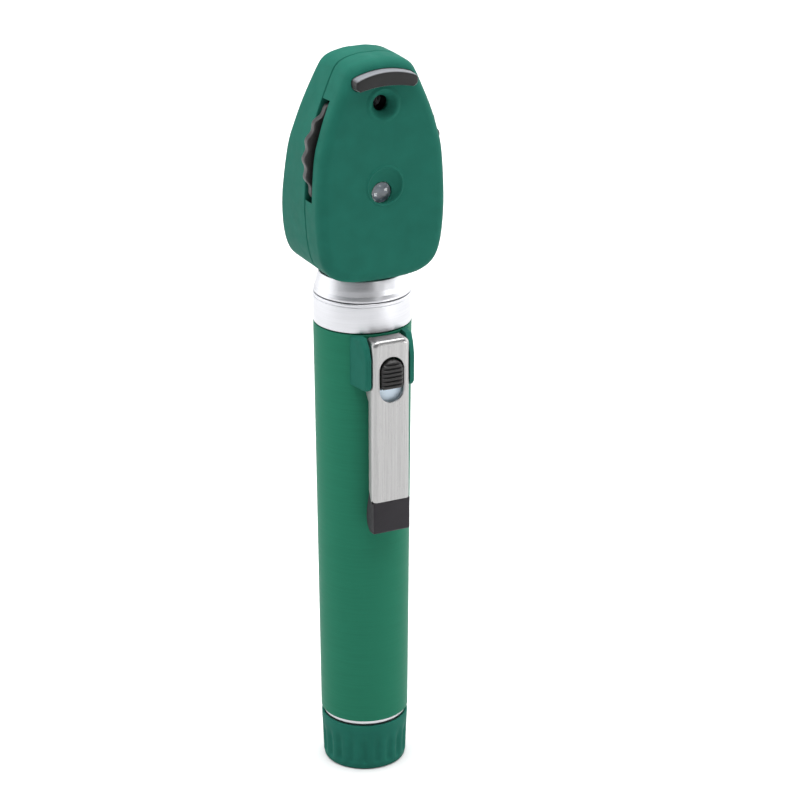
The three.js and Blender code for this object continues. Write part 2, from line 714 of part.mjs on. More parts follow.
function neck() {
  const ring = turnedRing([
    [SPIGOT_BORE_R, SPIGOT_BOTTOM_Z],
    [SPIGOT_R, SPIGOT_BOTTOM_Z],
    [SPIGOT_R, 113.8],
    [BARREL_TOP_R, 113.8],
    [10.3, 114.9],
    [10.1, 116.1],
    [9.77, 117.35],
    [9, 117.8],
    [NECK_R, 118],
    [NECK_R, FLANGE_BOTTOM_Z],
    [FLANGE_R, FLANGE_BOTTOM_Z],
    [FLANGE_R, FLANGE_BOTTOM_Z + 1.4],
    [5.2, FLANGE_BOTTOM_Z + 1.4],
    [5.2, 111.9],
    [SPIGOT_BORE_R, 111.9],
  ]);
  const lugs = [0, 180].map((angle) =>
    sector(SPIGOT_R - 0.5, LUG_R, angle - LUG_ANGLE / 2, angle + LUG_ANGLE / 2,
      LUG_BOTTOM_Z, LUG_BOTTOM_Z + LUG_HEIGHT));
  return join(ring, ...lugs);
}

function shellScrew(x, z) {
  const tip = -8;
  const headBack = 2.8;
  const shank = rodY(0.8, x, z, tip, 2, 12);
  const head = rodY(1.5, x, z, 1.7, headBack, 16);
  const recess = [
    block(x - 0.9, x + 0.9, headBack - 0.6, headBack + 1, z - 0.2, z + 0.2),
    block(x - 0.2, x + 0.2, headBack - 0.6, headBack + 1, z - 0.9, z + 0.9),
  ];
  return cut(join(shank, head), ...recess);
}

// ---- Optics -------------------------------------------------------------------------------

function opticsFrame() {
  const plateFront = -3.85;
  const plateBack = -2.7;
  const plate = common(
    slabY(outlinePoints(2.6), plateFront, plateBack),
    block(-20, 20, -5, 0, 123.4, 170),
  );
  const tube = rodZ(TUBE_R, 0, LIGHT_Y, TUBE_BOTTOM_Z, TUBE_TOP_Z, 24);
  const arms = [
    block(-1.8, 1.8, LIGHT_Y + TUBE_BORE_R, APERTURE_Y + 1.8, 129, 130.6),
    block(-1.8, 1.8, LIGHT_Y + TUBE_BORE_R, APERTURE_Y + 1.8, 133.8, 135.4),
  ];
  return cut(
    join(plate, tube, ...arms),
    rodZ(TUBE_BORE_R, 0, LIGHT_Y, TUBE_BOTTOM_Z - 1, TUBE_TOP_Z + 1, 24),
    block(-9, 9, -2.4, 14, APERTURE_Z - 1.3, APERTURE_Z + 1.3),
    rodZ(1.2, 0, APERTURE_Y, 128, 137, 12),
    rodY(1.7, 0, SIGHT_Z, -5, 0, 20),
    rodY(1.5, 0, WHEEL_Z, -5, -2, 12),
    rodY(1.5, -POST_X, POST_Z, -5, 0, 12),
    rodY(1.5, POST_X, POST_Z, -5, 0, 12),
    rodY(1.5, 0, TOP_POST_Z, -5, 0, 12),
  );
}

function lampBase() {
  return turnedRing([
    [1.7, 112.5],
    [4.8, 112.5],
    [4.8, 121],
    [0.7, 121],
    [0.7, 118],
    [1.7, 118],
  ], 28);
}

function lampContact() {
  return turned([[0, 112.3], [1.3, 112.3], [1.3, 117.5], [0, 117.5]], 16);
}

function lampDome() {
  return turned([[0, 0], [2.4, 0], [2.4, 0.6], [1.9, 0.6], [1.9, 1.5], [1.4, 2.5], [0.7, 3], [0, 3.2]], 20);
}

// Round lens about Z: positive sag bulges, negative sag is hollow.
function roundLens(radius, edge, sag, sides = SMALL_SIDES) {
  const half = edge / 2;
  return turned([
    [0, -half - sag],
    [radius * 0.6, -half - sag * 0.6],
    [radius, -half],
    [radius, half],
    [radius * 0.6, half + sag * 0.6],
    [0, half + sag],
  ], sides);
}

function mirrorPlate() {
  return new THREE.BoxGeometry(5.2, 0.8, 5.6).translate(0, -0.4, 0);
}

function mirrorMount() {
  const back = -2.4;
  const top = 155.6;
  const offset = MIRROR_Z - LIGHT_Y + 1.1 * Math.SQRT2;
  return slabX(polygon([[back, back + offset], [top - offset, top], [back, top]]), -2.6, 2.6);
}

function lensWheel() {
  const disc = scalloped(WHEEL_R, 0.3, WHEEL_SCALLOPS);
  roundHole(disc, 1.5, 0, 0);
  for (let i = 0; i < LENS_POSITIONS; i += 1) {
    const angle = Math.PI / 2 + (i * 2 * Math.PI) / LENS_POSITIONS;
    roundHole(disc, LENS_R + GAP, LENS_PITCH_R * Math.cos(angle), LENS_PITCH_R * Math.sin(angle));
  }
  return slabY(disc, -WHEEL_THICKNESS / 2, WHEEL_THICKNESS / 2, 5);
}

function lensWheelAxle() {
  return join(rodY(1.2, 0, 0, -7.6, -3), rodY(2.2, 0, 0, -7.7, -7.2, 16));
}

function lensDetentSpring() {
  const leaf = block(-6.3, 0.8, -6.2, -5, 127.3, 127.65);
  return join(leaf, rodY(0.35, 0, 127.65, -6.2, -5, 10));
}

// Aperture wheel about Z: large, small, slit-cut half, fixation and filter openings.
function apertureWheel() {
  const disc = scalloped(APERTURE_R, 0.2, APERTURE_SCALLOPS);
  roundHole(disc, 1.2, 0, 0);
  const openings = [1.5, 0.8, 1.2, 0.5, 1.5];
  openings.forEach((radius, i) => {
    const angle = -Math.PI / 2 + (i * 2 * Math.PI) / openings.length;
    roundHole(disc, radius, APERTURE_PITCH_R * Math.cos(angle), APERTURE_PITCH_R * Math.sin(angle));
  });
  return slabZ(disc, -0.9, 0.9, 5);
}

function apertureAxle() {
  return rodZ(0.9, 0, APERTURE_Y, 128.6, 135.8, 12);
}

function apertureDetentSpring() {
  const leaf = block(-8.2, -7.85, 2, 8, APERTURE_Z - 0.6, APERTURE_Z + 0.6);
  return join(leaf, rodZ(0.3, -7.9, APERTURE_Y, APERTURE_Z - 0.6, APERTURE_Z + 0.6, 10));
}

// ---- Assembly -----------------------------------------------------------------------------

function piece(name, geometry, look, x = 0, y = 0, z = 0) {
  const mesh = new THREE.Mesh(geometry, new THREE.MeshStandardMaterial(look));
  mesh.name = name;
  mesh.position.set(x, y, z);
  return mesh;
}

const handle = new THREE.Group();
handle.add(
  piece("barrel", barrel(), GREEN_ANODISED),
  piece("collar", collar(), SILVER),
  piece("contact_insulator", contactInsulator(), BLACK_PLASTIC),
  piece("contact_disc", contactDisc(), BRASS),
  piece("battery_lower", cell(), CELL_JACKET, 0, 0, CELL_START_Z),
  piece("battery_upper", cell(), CELL_JACKET, 0, 0, CELL_START_Z + CELL_LENGTH + GAP),
  piece("switch_bracket", switchBracket(), GREEN_PLASTIC),
  piece("indicator_plate", indicatorPlate(), PALE_PLASTIC),
  piece("switch_strip", switchStrip(), COPPER),
  piece("clip_pin", clipPin(), STAINLESS),
);

const slideSwitch = new THREE.Group();
slideSwitch.add(
  piece("switch_button", switchButton(), BLACK_PLASTIC),
  piece("switch_contact", switchContact(), COPPER),
);

const clip = new THREE.Group();
clip.add(
  piece("clip_blade", clipBlade(), STAINLESS),
  piece("clip_foot", clipFoot(), CHARCOAL),
  piece("clip_spring", clipSpring(), STAINLESS),
);

const bottomCap = new THREE.Group();
bottomCap.add(
  piece("end_cap", endCap(), GREEN_PLASTIC),
  piece("cap_sleeve", capSleeve(), SILVER),
  piece("spring_seat", springSeat(), BRASS),
  piece("battery_spring", batterySpring(), STAINLESS),
);

const mirror = piece("mirror", mirrorPlate(), MIRRORED, 0, LIGHT_Y, MIRROR_Z);
mirror.rotation.x = -Math.PI / 4;

const head = new THREE.Group();
head.add(
  piece("neck", neck(), SILVER),
  piece("examiner_shell", examinerShell(), GREEN_PLASTIC),
  piece("patient_shell", patientShell(), GREEN_PLASTIC),
  piece("brow_rest", browRest(), RUBBER),
  piece("optics_frame", opticsFrame(), BLACK_PLASTIC),
  piece("lamp_base", lampBase(), SILVER),
  piece("lamp_contact", lampContact(), BRASS),
  piece("lamp_dome", lampDome(), LAMP_WHITE, 0, LIGHT_Y, 121.3),
  piece("condenser_lens", roundLens(3, 1.2, 0.5, 20), GLASS, 0, LIGHT_Y, 128),
  piece("objective_lens", roundLens(3, 1.2, 0.4, 20), GLASS, 0, LIGHT_Y, 138),
  piece("mirror_mount", mirrorMount(), BLACK_PLASTIC),
  piece("window", windowPlate(), GLASS),
  piece("lens_wheel_axle", lensWheelAxle(), STAINLESS, 0, 0, WHEEL_Z),
  piece("lens_detent_spring", lensDetentSpring(), STAINLESS),
  piece("aperture_axle", apertureAxle(), STAINLESS),
  piece("aperture_detent_spring", apertureDetentSpring(), STAINLESS),
  mirror,
);

const readout = piece("readout_lens", readoutLens(), GLASS, 0, -9.4, READOUT_Z);
readout.rotation.x = Math.PI / 2;
head.add(readout);

const screwPlaces = [[-POST_X, POST_Z], [POST_X, POST_Z], [0, TOP_POST_Z]];
screwPlaces.forEach(([x, z], i) => {
  head.add(piece(`shell_screw_${i + 1}`, shellScrew(x, z), STAINLESS));
});

const lensCarrier = new THREE.Group();
lensCarrier.position.set(0, WHEEL_Y, WHEEL_Z);
lensCarrier.add(piece("lens_wheel", lensWheel(), BLACK_PLASTIC));
for (let i = 1; i < LENS_POSITIONS; i += 1) {
  const angle = Math.PI / 2 + (i * 2 * Math.PI) / LENS_POSITIONS;
  const sag = 0.07 * (LENS_POSITIONS / 2 - i);
  const name = `lens_${String(i).padStart(2, "0")}`;
  const x = LENS_PITCH_R * Math.cos(angle);
  const z = LENS_PITCH_R * Math.sin(angle);
  const lens = piece(name, roundLens(LENS_R, 1.2, Math.max(sag, -0.35), 10), GLASS, x, 0, z);
  lens.rotation.x = Math.PI / 2;
  lensCarrier.add(lens);
}

const apertureCarrier = new THREE.Group();
apertureCarrier.position.set(0, APERTURE_Y, APERTURE_Z);
const filterAngle = -Math.PI / 2 + (4 * 2 * Math.PI) / 5;
apertureCarrier.add(
  piece("aperture_wheel", apertureWheel(), BLACK_PLASTIC),
  piece("red_free_filter", rodZ(1.2, 0, 0, -0.5, 0.5, 14), RED_FREE_GLASS,
    APERTURE_PITCH_R * Math.cos(filterAngle), APERTURE_PITCH_R * Math.sin(filterAngle), 0),
);

head.add(lensCarrier, apertureCarrier);

const ophthalmoscope = new THREE.Group();
ophthalmoscope.add(handle, slideSwitch, clip, bottomCap, head);

export default ophthalmoscope;
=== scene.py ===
"""Looks of a hand-held direct ophthalmoscope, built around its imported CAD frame.

Lengths in the shape code are millimetres; a mesh is scaled to metres when it is made.
+Z runs up the handle, -Y is the examiner's side, and the origin is the end cap's base.
"""

import json
import math

import bmesh
import bpy
from mathutils import Matrix, Vector


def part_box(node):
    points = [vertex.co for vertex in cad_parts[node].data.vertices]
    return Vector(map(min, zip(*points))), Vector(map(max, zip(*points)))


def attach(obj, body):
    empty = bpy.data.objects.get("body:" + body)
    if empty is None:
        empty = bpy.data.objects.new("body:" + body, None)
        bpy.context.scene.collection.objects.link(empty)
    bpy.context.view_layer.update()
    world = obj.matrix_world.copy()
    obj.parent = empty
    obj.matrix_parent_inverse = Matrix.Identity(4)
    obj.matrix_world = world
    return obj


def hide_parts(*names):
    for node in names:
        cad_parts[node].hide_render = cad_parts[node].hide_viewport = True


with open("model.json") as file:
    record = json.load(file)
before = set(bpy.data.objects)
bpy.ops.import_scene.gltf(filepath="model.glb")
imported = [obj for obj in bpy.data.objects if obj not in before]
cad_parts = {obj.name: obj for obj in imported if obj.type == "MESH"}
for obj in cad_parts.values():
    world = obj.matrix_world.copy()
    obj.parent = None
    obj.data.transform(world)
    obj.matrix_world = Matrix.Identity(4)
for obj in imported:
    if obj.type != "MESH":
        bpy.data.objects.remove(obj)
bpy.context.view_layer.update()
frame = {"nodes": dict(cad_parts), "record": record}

MM = 0.001
TAU = 2 * math.pi


# ---- Sizes taken from the frame -----------------------------------------------------------


def span(node, axis):
    """Lowest and highest coordinate of a CAD node along an axis, in millimetres."""
    low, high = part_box(node)
    return low[axis] / MM, high[axis] / MM


X, Y, Z = 0, 1, 2
CAP_TOP = span("end_cap", Z)[1]
BARREL_BOTTOM, BARREL_TOP = span("barrel", Z)
BARREL_R = span("barrel", X)[1]
BARREL_R_LOW = BARREL_R - 0.85
COLLAR_BOTTOM = BARREL_TOP + 0.3
COLLAR_TOP = span("collar", Z)[1]
FACE_Y = span("examiner_shell", Y)[0]
SEAM_FRONT, SEAM_BACK = span("examiner_shell", Y)[1], span("patient_shell", Y)[0]
BACK_Y = span("patient_shell", Y)[1]
HEAD_BOTTOM, HEAD_TOP = span("patient_shell", Z)[0], span("examiner_shell", Z)[1]
HEAD_HALF = span("patient_shell", X)[1]
WHEEL_Z = sum(span("lens_wheel", Z)) / 2
CLIP_Y = span("clip_blade", Y)[0]
CLIP_HALF = span("clip_blade", X)[1]
CLIP_BOTTOM, CLIP_TOP = span("clip_blade", Z)
FOOT_BOTTOM = span("clip_foot", Z)[0]
FOOT_BACK = span("clip_foot", Y)[1]
READOUT_Z = sum(span("readout_lens", Z)) / 2

# ---- Sizes chosen to suit them ------------------------------------------------------------

CAP_RIM = CAP_TOP - 0.2
RING_TOP = BARREL_BOTTOM + 0.32
SLOT_HALF, SLOT_BOTTOM, SLOT_TOP = 2.85, 92.15, 102.5
WHEEL_PEAK_R, WHEEL_WAVE, WHEEL_FRONT, WHEEL_BACK = 16.0, 0.3, -6.1, -4.3
CELLS, CELL_RING_R = 16, 12.3
SIGHT_Z = WHEEL_Z + CELL_RING_R
BACK_SLOPE_Z, BACK_TILT = 130.0, math.radians(10)
WINDOW_Z = 156
OPTICS_Y = 1.0
SCREWS = [(-9.5, 127.0), (9.5, 127.0), (0.0, 163.4)]
HEAD_MIDDLE = (HEAD_BOTTOM + HEAD_TOP) / 2


# ---- Mesh helpers -------------------------------------------------------------------------


def add_object(name, data):
    obj = bpy.data.objects.new(name, data)
    bpy.context.scene.collection.objects.link(obj)
    return obj


def make_object(name, verts, faces, sharp=32):
    """Object from millimetre vertices, with outward faces and edges sharper than an angle kept."""
    mesh = bpy.data.meshes.new(name)
    mesh.from_pydata([(x * MM, y * MM, z * MM) for x, y, z in verts], [], faces)
    finish_mesh(mesh, sharp)
    return add_object(name, mesh)


def finish_mesh(mesh, sharp=32):
    bm = bmesh.new()
    bm.from_mesh(mesh)
    bmesh.ops.remove_doubles(bm, verts=bm.verts, dist=0.002 * MM)
    bmesh.ops.recalc_face_normals(bm, faces=bm.faces)
    bm.to_mesh(mesh)
    bm.free()
    for polygon in mesh.polygons:
        polygon.use_smooth = True
    mesh.set_sharp_from_angle(angle=math.radians(sharp))
    mesh.update()


def carve(obj, *cutters):
    """Cuts closed shapes out of an object and throws them away."""
    for cutter in cutters:
        modifier = obj.modifiers.new("cut", "BOOLEAN")
        modifier.object = cutter
        modifier.operation = "DIFFERENCE"
        modifier.solver = "EXACT"
    graph = bpy.context.evaluated_depsgraph_get()
    mesh = bpy.data.meshes.new_from_object(obj.evaluated_get(graph))
    obj.modifiers.clear()
    obj.data = mesh
    finish_mesh(mesh)
    for cutter in cutters:
        bpy.data.objects.remove(cutter)


def merge(obj, *others, sharp=32):
    """Joins separate shells into one piece, without cutting them."""
    bm = bmesh.new()
    for part in (obj, *others):
        bm.from_mesh(part.data)
    mesh = bpy.data.meshes.new(obj.name)
    bm.to_mesh(mesh)
    bm.free()
    obj.data = mesh
    for part in others:
        bpy.data.objects.remove(part)
    finish_mesh(mesh, sharp)


def clamp(value):
    return max(0.0, min(1.0, value))


def fillet(points, closed=True, steps=6):
    """Outline through (u, v, radius) points, with each corner turned into an arc of its radius."""
    result = []
    count = len(points)
    for i, (u, v, radius) in enumerate(points):
        if radius == 0 or (not closed and i in (0, count - 1)):
            result.append((u, v))
            continue
        here = Vector((u, v))
        before = Vector(points[i - 1][:2]) - here
        after = Vector(points[(i + 1) % count][:2]) - here
        half = before.angle(after) / 2
        reach = min(radius / math.tan(half), 0.49 * before.length, 0.49 * after.length)
        radius = reach * math.tan(half)
        before, after = before.normalized(), after.normalized()
        centre = here + (before + after).normalized() * radius / math.sin(half)
        start = here + before * reach - centre
        end = here + after * reach - centre
        turn = math.atan2(start.x * end.y - start.y * end.x, start.dot(end))
        for step in range(steps + 1):
            angle = turn * step / steps
            cos, sin = math.cos(angle), math.sin(angle)
            u, v = start.x * cos - start.y * sin, start.x * sin + start.y * cos
            result.append((centre.x + u, centre.y + v))
    return result


def band(low, high):
    """Faces between two rows of vertex numbers; a row of one is a pole."""
    count = max(len(low), len(high))
    faces = []
    for i in range(count):
        j = (i + 1) % count
        if len(low) == 1 and len(high) == 1:
            continue
        if len(low) == 1:
            faces.append((low[0], high[i], high[j]))
        elif len(high) == 1:
            faces.append((low[i], low[j], high[0]))
        else:
            faces.append((low[i], low[j], high[j], high[i]))
    return faces


def ring_faces(verts, rings):
    """Adds vertex rings of equal length and returns their rows and the faces between them."""
    rows, faces = [], []
    for ring in rings:
        rows.append(list(range(len(verts), len(verts) + len(ring))))
        verts += ring
    for low, high in zip(rows, rows[1:]):
        faces += band(low, high)
    return rows, faces


def capped(name, rings, sharp=32):
    """Closed piece through rings of points, with a flat face on the first and on the last."""
    verts = []
    rows, faces = ring_faces(verts, rings)
    return make_object(name, verts, [rows[0], rows[-1]] + faces, sharp)


def lathe(name, profile, segments=128, centre=(0, 0), axis="Z", closed=False, steps=6):
    """Turned piece: profile of (radius, height, corner radius) points, turned about Z or Y."""
    rings = []
    for radius, height in fillet(profile, closed, steps):
        ring = []
        for i in range(segments if radius > 1e-6 else 1):
            angle = TAU * i / segments
            a, b = centre[0] + radius * math.cos(angle), centre[1] + radius * math.sin(angle)
            ring.append((a, b, height) if axis == "Z" else (a, height, b))
        rings.append(ring)
    verts = []
    rows, faces = ring_faces(verts, rings)
    if closed:
        faces += band(rows[-1], rows[0])
    return make_object(name, verts, faces)


def rod(name, radius, low, high, segments, centre=(0, 0), axis="Y"):
    """Plain round solid that cuts an opening."""
    profile = [(0, low, 0), (radius, low, 0), (radius, high, 0), (0, high, 0)]
    return lathe(name, profile, segments, centre, axis)


def quarter(steps):
    """Pairs of 1 - cosine and 1 - sine over a quarter turn, for rounded rims."""
    angles = [math.pi / 2 * step / steps for step in range(steps + 1)]
    return [(1 - math.cos(angle), 1 - math.sin(angle)) for angle in angles]


def normals_of(loop):
    """Outward unit normals of a closed counterclockwise loop."""
    count = len(loop)
    result = []
    for i in range(count):
        ax, ay = loop[i - 1]
        bx, by = loop[(i + 1) % count]
        length = math.hypot(bx - ax, by - ay)
        result.append(((by - ay) / length, -(bx - ax) / length))
    return result


def resample(loop, spacing):
    """Closed loop with straight runs divided, so that no step is longer than spacing."""
    result = []
    for (ax, ay), (bx, by) in zip(loop, loop[1:] + loop[:1]):
        length = math.hypot(bx - ax, by - ay)
        if length < 1e-6:
            continue
        parts = max(1, math.ceil(length / spacing))
        result += [(ax + (bx - ax) * k / parts, ay + (by - ay) * k / parts) for k in range(parts)]
    return result


def inset(loop, distance):
    """Loop moved inwards along its normals."""
    return [(u - nu * distance, v - nv * distance) for (u, v), (nu, nv) in zip(loop, normals_of(loop))]


PLANES = {
    "XZ": lambda u, v, w: (u, w, v),
    "YZ": lambda u, v, w: (w, u, v),
    "XY": lambda u, v, w: (u, v, w),
}


def slab(name, loop, plane, w0, w1, round0=0.0, round1=0.0, steps=5):
    """Outline thickened from w0 to w1, with both rims rounded; flat ends."""
    place = PLANES[plane]
    way = 1 if w1 > w0 else -1

    def rim(radius, w, way):
        return [(radius * s, w + way * radius * c) for c, s in quarter(steps)[:None if radius else 1]]

    levels = rim(round0, w0, way) + rim(round1, w1, -way)[::-1]
    return capped(name, [[place(u, v, w) for u, v in (inset(loop, d) if d else loop)] for d, w in levels])


def circle(radius, centre, count, phase=0.0):
    return [
        (centre[0] + radius * math.cos(phase + TAU * i / count),
         centre[1] + radius * math.sin(phase + TAU * i / count))
        for i in range(count)
    ]


def box_loop(u0, u1, v0, v1, radius=0.0):
    return fillet([(u0, v0, radius), (u1, v0, radius), (u1, v1, radius), (u0, v1, radius)])


def curve_point(p0, p1, p2, p3, t):
    """Point of a Catmull-Rom curve, at share t between its two middle points."""
    return tuple(
        0.5 * (2 * b + (c - a) * t + (2 * a - 5 * b + 4 * c - d) * t * t + (3 * b - a - 3 * c + d) * t ** 3)
        for a, b, c, d in zip(p0, p1, p2, p3)
    )


def smooth_loop(points, per_span=12):
    """Closed curve through points."""
    count = len(points)
    result = []
    for i in range(count):
        around = [points[(i + k - 1) % count] for k in range(4)]
        result += [curve_point(*around, step / per_span) for step in range(per_span)]
    return result


def smooth_steps(points, per_span=6):
    """Eases between (a, b, ...) rows with a curve that starts and ends on them."""
    padded = [points[0], *points, points[-1]]
    result = []
    for i in range(len(points) - 1):
        result += [curve_point(*padded[i:i + 4], step / per_span) for step in range(per_span)]
    result.append(tuple(points[-1]))
    return result


def tube(name, points, radius):
    """Round wire along a list of points, with flat ends."""
    sides = 12
    rings = []
    side = None
    for i, point in enumerate(points):
        ahead = Vector(points[min(i + 1, len(points) - 1)])
        behind = Vector(points[max(i - 1, 0)])
        tangent = (ahead - behind).normalized()
        if side is None:
            side = tangent.orthogonal().normalized()
        side = (side - tangent * side.dot(tangent)).normalized()
        other = tangent.cross(side)
        ring = []
        for k in range(sides):
            angle = TAU * k / sides
            offset = side * math.cos(angle) * radius + other * math.sin(angle) * radius
            ring.append(tuple(Vector(point) + offset))
        rings.append(ring)
    return capped(name, rings, sharp=60)


def scalloped(peak, wave, waves, per_wave, centre=(0, 0), phase=0.0):
    """Outline of a wheel whose rim is a row of soft waves."""
    loop = []
    for i in range(waves * per_wave):
        angle = TAU * i / (waves * per_wave)
        r = peak - wave * (1 - math.cos(waves * (angle - phase)))
        loop.append((centre[0] + r * math.cos(angle), centre[1] + r * math.sin(angle)))
    return loop


# ---- Materials ----------------------------------------------------------------------------


class Finish:
    """A procedural material that is built up in layers on a Principled shader."""

    def __init__(self, name, color, roughness, metallic=0.0, **sockets):
        self.material = bpy.data.materials.new(name)
        self.material.use_nodes = True
        self.tree = self.material.node_tree
        self.shader = self.tree.nodes["Principled BSDF"]
        self.color = color
        self.set("Base Color", (*color, 1))
        self.set("Roughness", roughness)
        self.set("Metallic", metallic)
        for socket, value in sockets.items():
            self.set(socket.replace("_", " "), value)
        self.place = self.tree.nodes.new("ShaderNodeTexCoord")
        self.height = None

    def set(self, socket, value):
        self.shader.inputs[socket].default_value = value

    def link(self, source, target):
        self.tree.links.new(source, target)

    def noise(self, scale, stretch=(1, 1, 1), detail=3.0, rough=0.5):
        """Noise with features of 1/scale millimetres, stretched along an axis."""
        mapping = self.tree.nodes.new("ShaderNodeMapping")
        mapping.inputs["Scale"].default_value = [scale / MM / s for s in stretch]
        self.link(self.place.outputs["Object"], mapping.inputs["Vector"])
        noise = self.tree.nodes.new("ShaderNodeTexNoise")
        noise.inputs["Scale"].default_value = 1.0
        noise.inputs["Detail"].default_value = detail
        noise.inputs["Roughness"].default_value = rough
        self.link(mapping.outputs["Vector"], noise.inputs["Vector"])
        return noise.outputs["Fac"]

    def vary_roughness(self, source, low, high):
        node = self.tree.nodes.new("ShaderNodeMapRange")
        for socket, value in (("From Min", 0.3), ("From Max", 0.7), ("To Min", low), ("To Max", high)):
            node.inputs[socket].default_value = value
        self.link(source, node.inputs["Value"])
        self.link(node.outputs["Result"], self.shader.inputs["Roughness"])

    def ramp_color(self, source, colors, places):
        ramp = self.tree.nodes.new("ShaderNodeValToRGB")
        for stop, color, place in zip(ramp.color_ramp.elements, colors, places):
            stop.position = place
            stop.color = (*color, 1)
        self.link(source, ramp.inputs["Fac"])
        self.link(ramp.outputs["Color"], self.shader.inputs["Base Color"])

    def vary_color(self, source, low, high):
        """Mottles the base colour between two shades of itself."""
        shades = [[channel * share for channel in self.color] for share in (low, high)]
        self.ramp_color(source, shades, (0.3, 0.7))

    def paint_top_sheen(self, color):
        """Paints a second, paler colour where the surface looks up: a painted sheen for the light that
        upward faces catch.
        """
        axes = self.tree.nodes.new("ShaderNodeSeparateXYZ")
        self.link(self.place.outputs["Normal"], axes.inputs["Vector"])
        self.ramp_color(axes.outputs["Z"], (self.color, color), (0.45, 0.9))

    def bump(self, source, strength, depth):
        """Adds a relief of that depth in millimetres over the ones already there."""
        node = self.tree.nodes.new("ShaderNodeBump")
        node.inputs["Strength"].default_value = strength
        node.inputs["Distance"].default_value = depth * MM
        self.link(source, node.inputs["Height"])
        if self.height:
            self.link(self.height, node.inputs["Normal"])
        self.height = node.outputs["Normal"]
        self.link(self.height, self.shader.inputs["Normal"])


def moulded(name, color, roughness, grain=5.0, depth=0.01, **sockets):
    """Moulded plastic: fine spark-eroded grain, slight mottling, uneven gloss."""
    finish = Finish(name, color, roughness, **sockets)
    finish.vary_color(finish.noise(0.25), 0.94, 1.06)
    finish.vary_roughness(finish.noise(0.6), roughness - 0.05, roughness + 0.05)
    finish.bump(finish.noise(grain, detail=2.0), 0.6, depth)
    return finish.material


def rubber_with_painted_top_sheen(name, color, painted_sheen_color, roughness, **sockets):
    """Soft rubber with a fine grain and a painted sheen: paler on its upward faces, standing in for the
    light that they catch.
    """
    finish = Finish(name, color, roughness, **sockets)
    # Painted sheen: upward faces turn paler, standing in for the light that falls on them.
    finish.paint_top_sheen(painted_sheen_color)
    finish.vary_roughness(finish.noise(0.6), roughness - 0.05, roughness + 0.05)
    finish.bump(finish.noise(4.0, detail=2.0), 0.6, 0.012)
    return finish.material


def turned_metal(name, color, roughness, metallic=1.0, **sockets):
    """Metal turned on a lathe: very fine rings round the handle's axis."""
    finish = Finish(name, color, roughness, metallic, **sockets)
    rings = finish.noise(9.0, stretch=(60, 60, 1), detail=4.0, rough=0.7)
    finish.vary_roughness(rings, roughness - 0.07, roughness + 0.09)
    finish.vary_color(finish.noise(5.0, stretch=(50, 50, 1)), 0.95, 1.04)
    finish.bump(rings, 0.35, 0.004)
    return finish.material


def brushed_metal(name, color, roughness):
    """Metal brushed along its length, with finer and coarser scratches."""
    stretch = (1, 1, 60)
    finish = Finish(name, color, roughness, 1.0)
    fine = finish.noise(9.0, stretch=stretch, detail=5.0, rough=0.75)
    finish.vary_roughness(fine, roughness - 0.08, roughness + 0.12)
    finish.vary_color(finish.noise(4.0, stretch=stretch, detail=4.0), 0.9, 1.07)
    finish.bump(fine, 0.5, 0.006)
    return finish.material


def plain_metal(name, color, roughness):
    finish = Finish(name, color, roughness, 1.0)
    finish.vary_roughness(finish.noise(1.5), roughness - 0.05, roughness + 0.07)
    finish.vary_color(finish.noise(0.8), 0.93, 1.05)
    finish.bump(finish.noise(6.0), 0.25, 0.003)
    return finish.material


def glass(name, color):
    roughness = 0.02
    finish = Finish(name, color, roughness, Transmission_Weight=1.0, IOR=1.52)
    finish.vary_roughness(finish.noise(0.8), roughness, roughness + 0.02)
    return finish.material


LOOKS = {}


def look(recipe, name, *values, **sockets):
    """Makes the finish that a material slot of the frame stands for."""
    LOOKS[name] = recipe(name, *values, **sockets)


look(turned_metal, "green_anodised", (0.015, 0.132, 0.078), 0.46, 0.0, Specular_IOR_Level=0.04)
look(moulded, "green_plastic", (0.0125, 0.102, 0.074), 0.55, 4.5, 0.012, Specular_IOR_Level=0.03)
look(turned_metal, "turned_silver", (0.55, 0.55, 0.57), 0.38)
look(brushed_metal, "stainless", (0.36, 0.355, 0.352), 0.3)
look(moulded, "black_plastic", (0.011, 0.010, 0.010), 0.42, Specular_IOR_Level=0.4)
look(moulded, "charcoal_plastic", (0.014, 0.012, 0.015), 0.5, 3.5, 0.02, Specular_IOR_Level=0.22)
# The brow rest's paler second colour is a painted sheen on its upward faces.
look(rubber_with_painted_top_sheen, "dark_rubber", (0.012, 0.012, 0.012), (0.17, 0.175, 0.19), 0.4,
     Specular_IOR_Level=0.2, Sheen_Weight=0.4, Sheen_Roughness=0.3)
look(moulded, "pale_plastic", (0.68, 0.80, 0.91), 0.35, depth=0.004)
look(plain_metal, "brass", (0.78, 0.57, 0.25), 0.28)
look(plain_metal, "copper_alloy", (0.82, 0.46, 0.26), 0.3)
look(glass, "clear_glass", (0.9, 0.93, 0.96))
look(glass, "red_free_glass", (0.25, 0.8, 0.35))
look(plain_metal, "front_mirror", (0.92, 0.93, 0.95), 0.07)
look(moulded, "cell_jacket", (0.03, 0.06, 0.11), 0.3, depth=0.003)
look(moulded, "lamp_lens", (0.9, 0.86, 0.6), 0.15, depth=0.002)


def dress(obj, slot, body, *nodes):
    """Gives a piece its material and its body, and hides the CAD nodes that it stands for."""
    obj.data.materials.clear()
    obj.data.materials.append(LOOKS[slot])
    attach(obj, body)
    if nodes:
        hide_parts(*nodes)


# ---- Handle -------------------------------------------------------------------------------


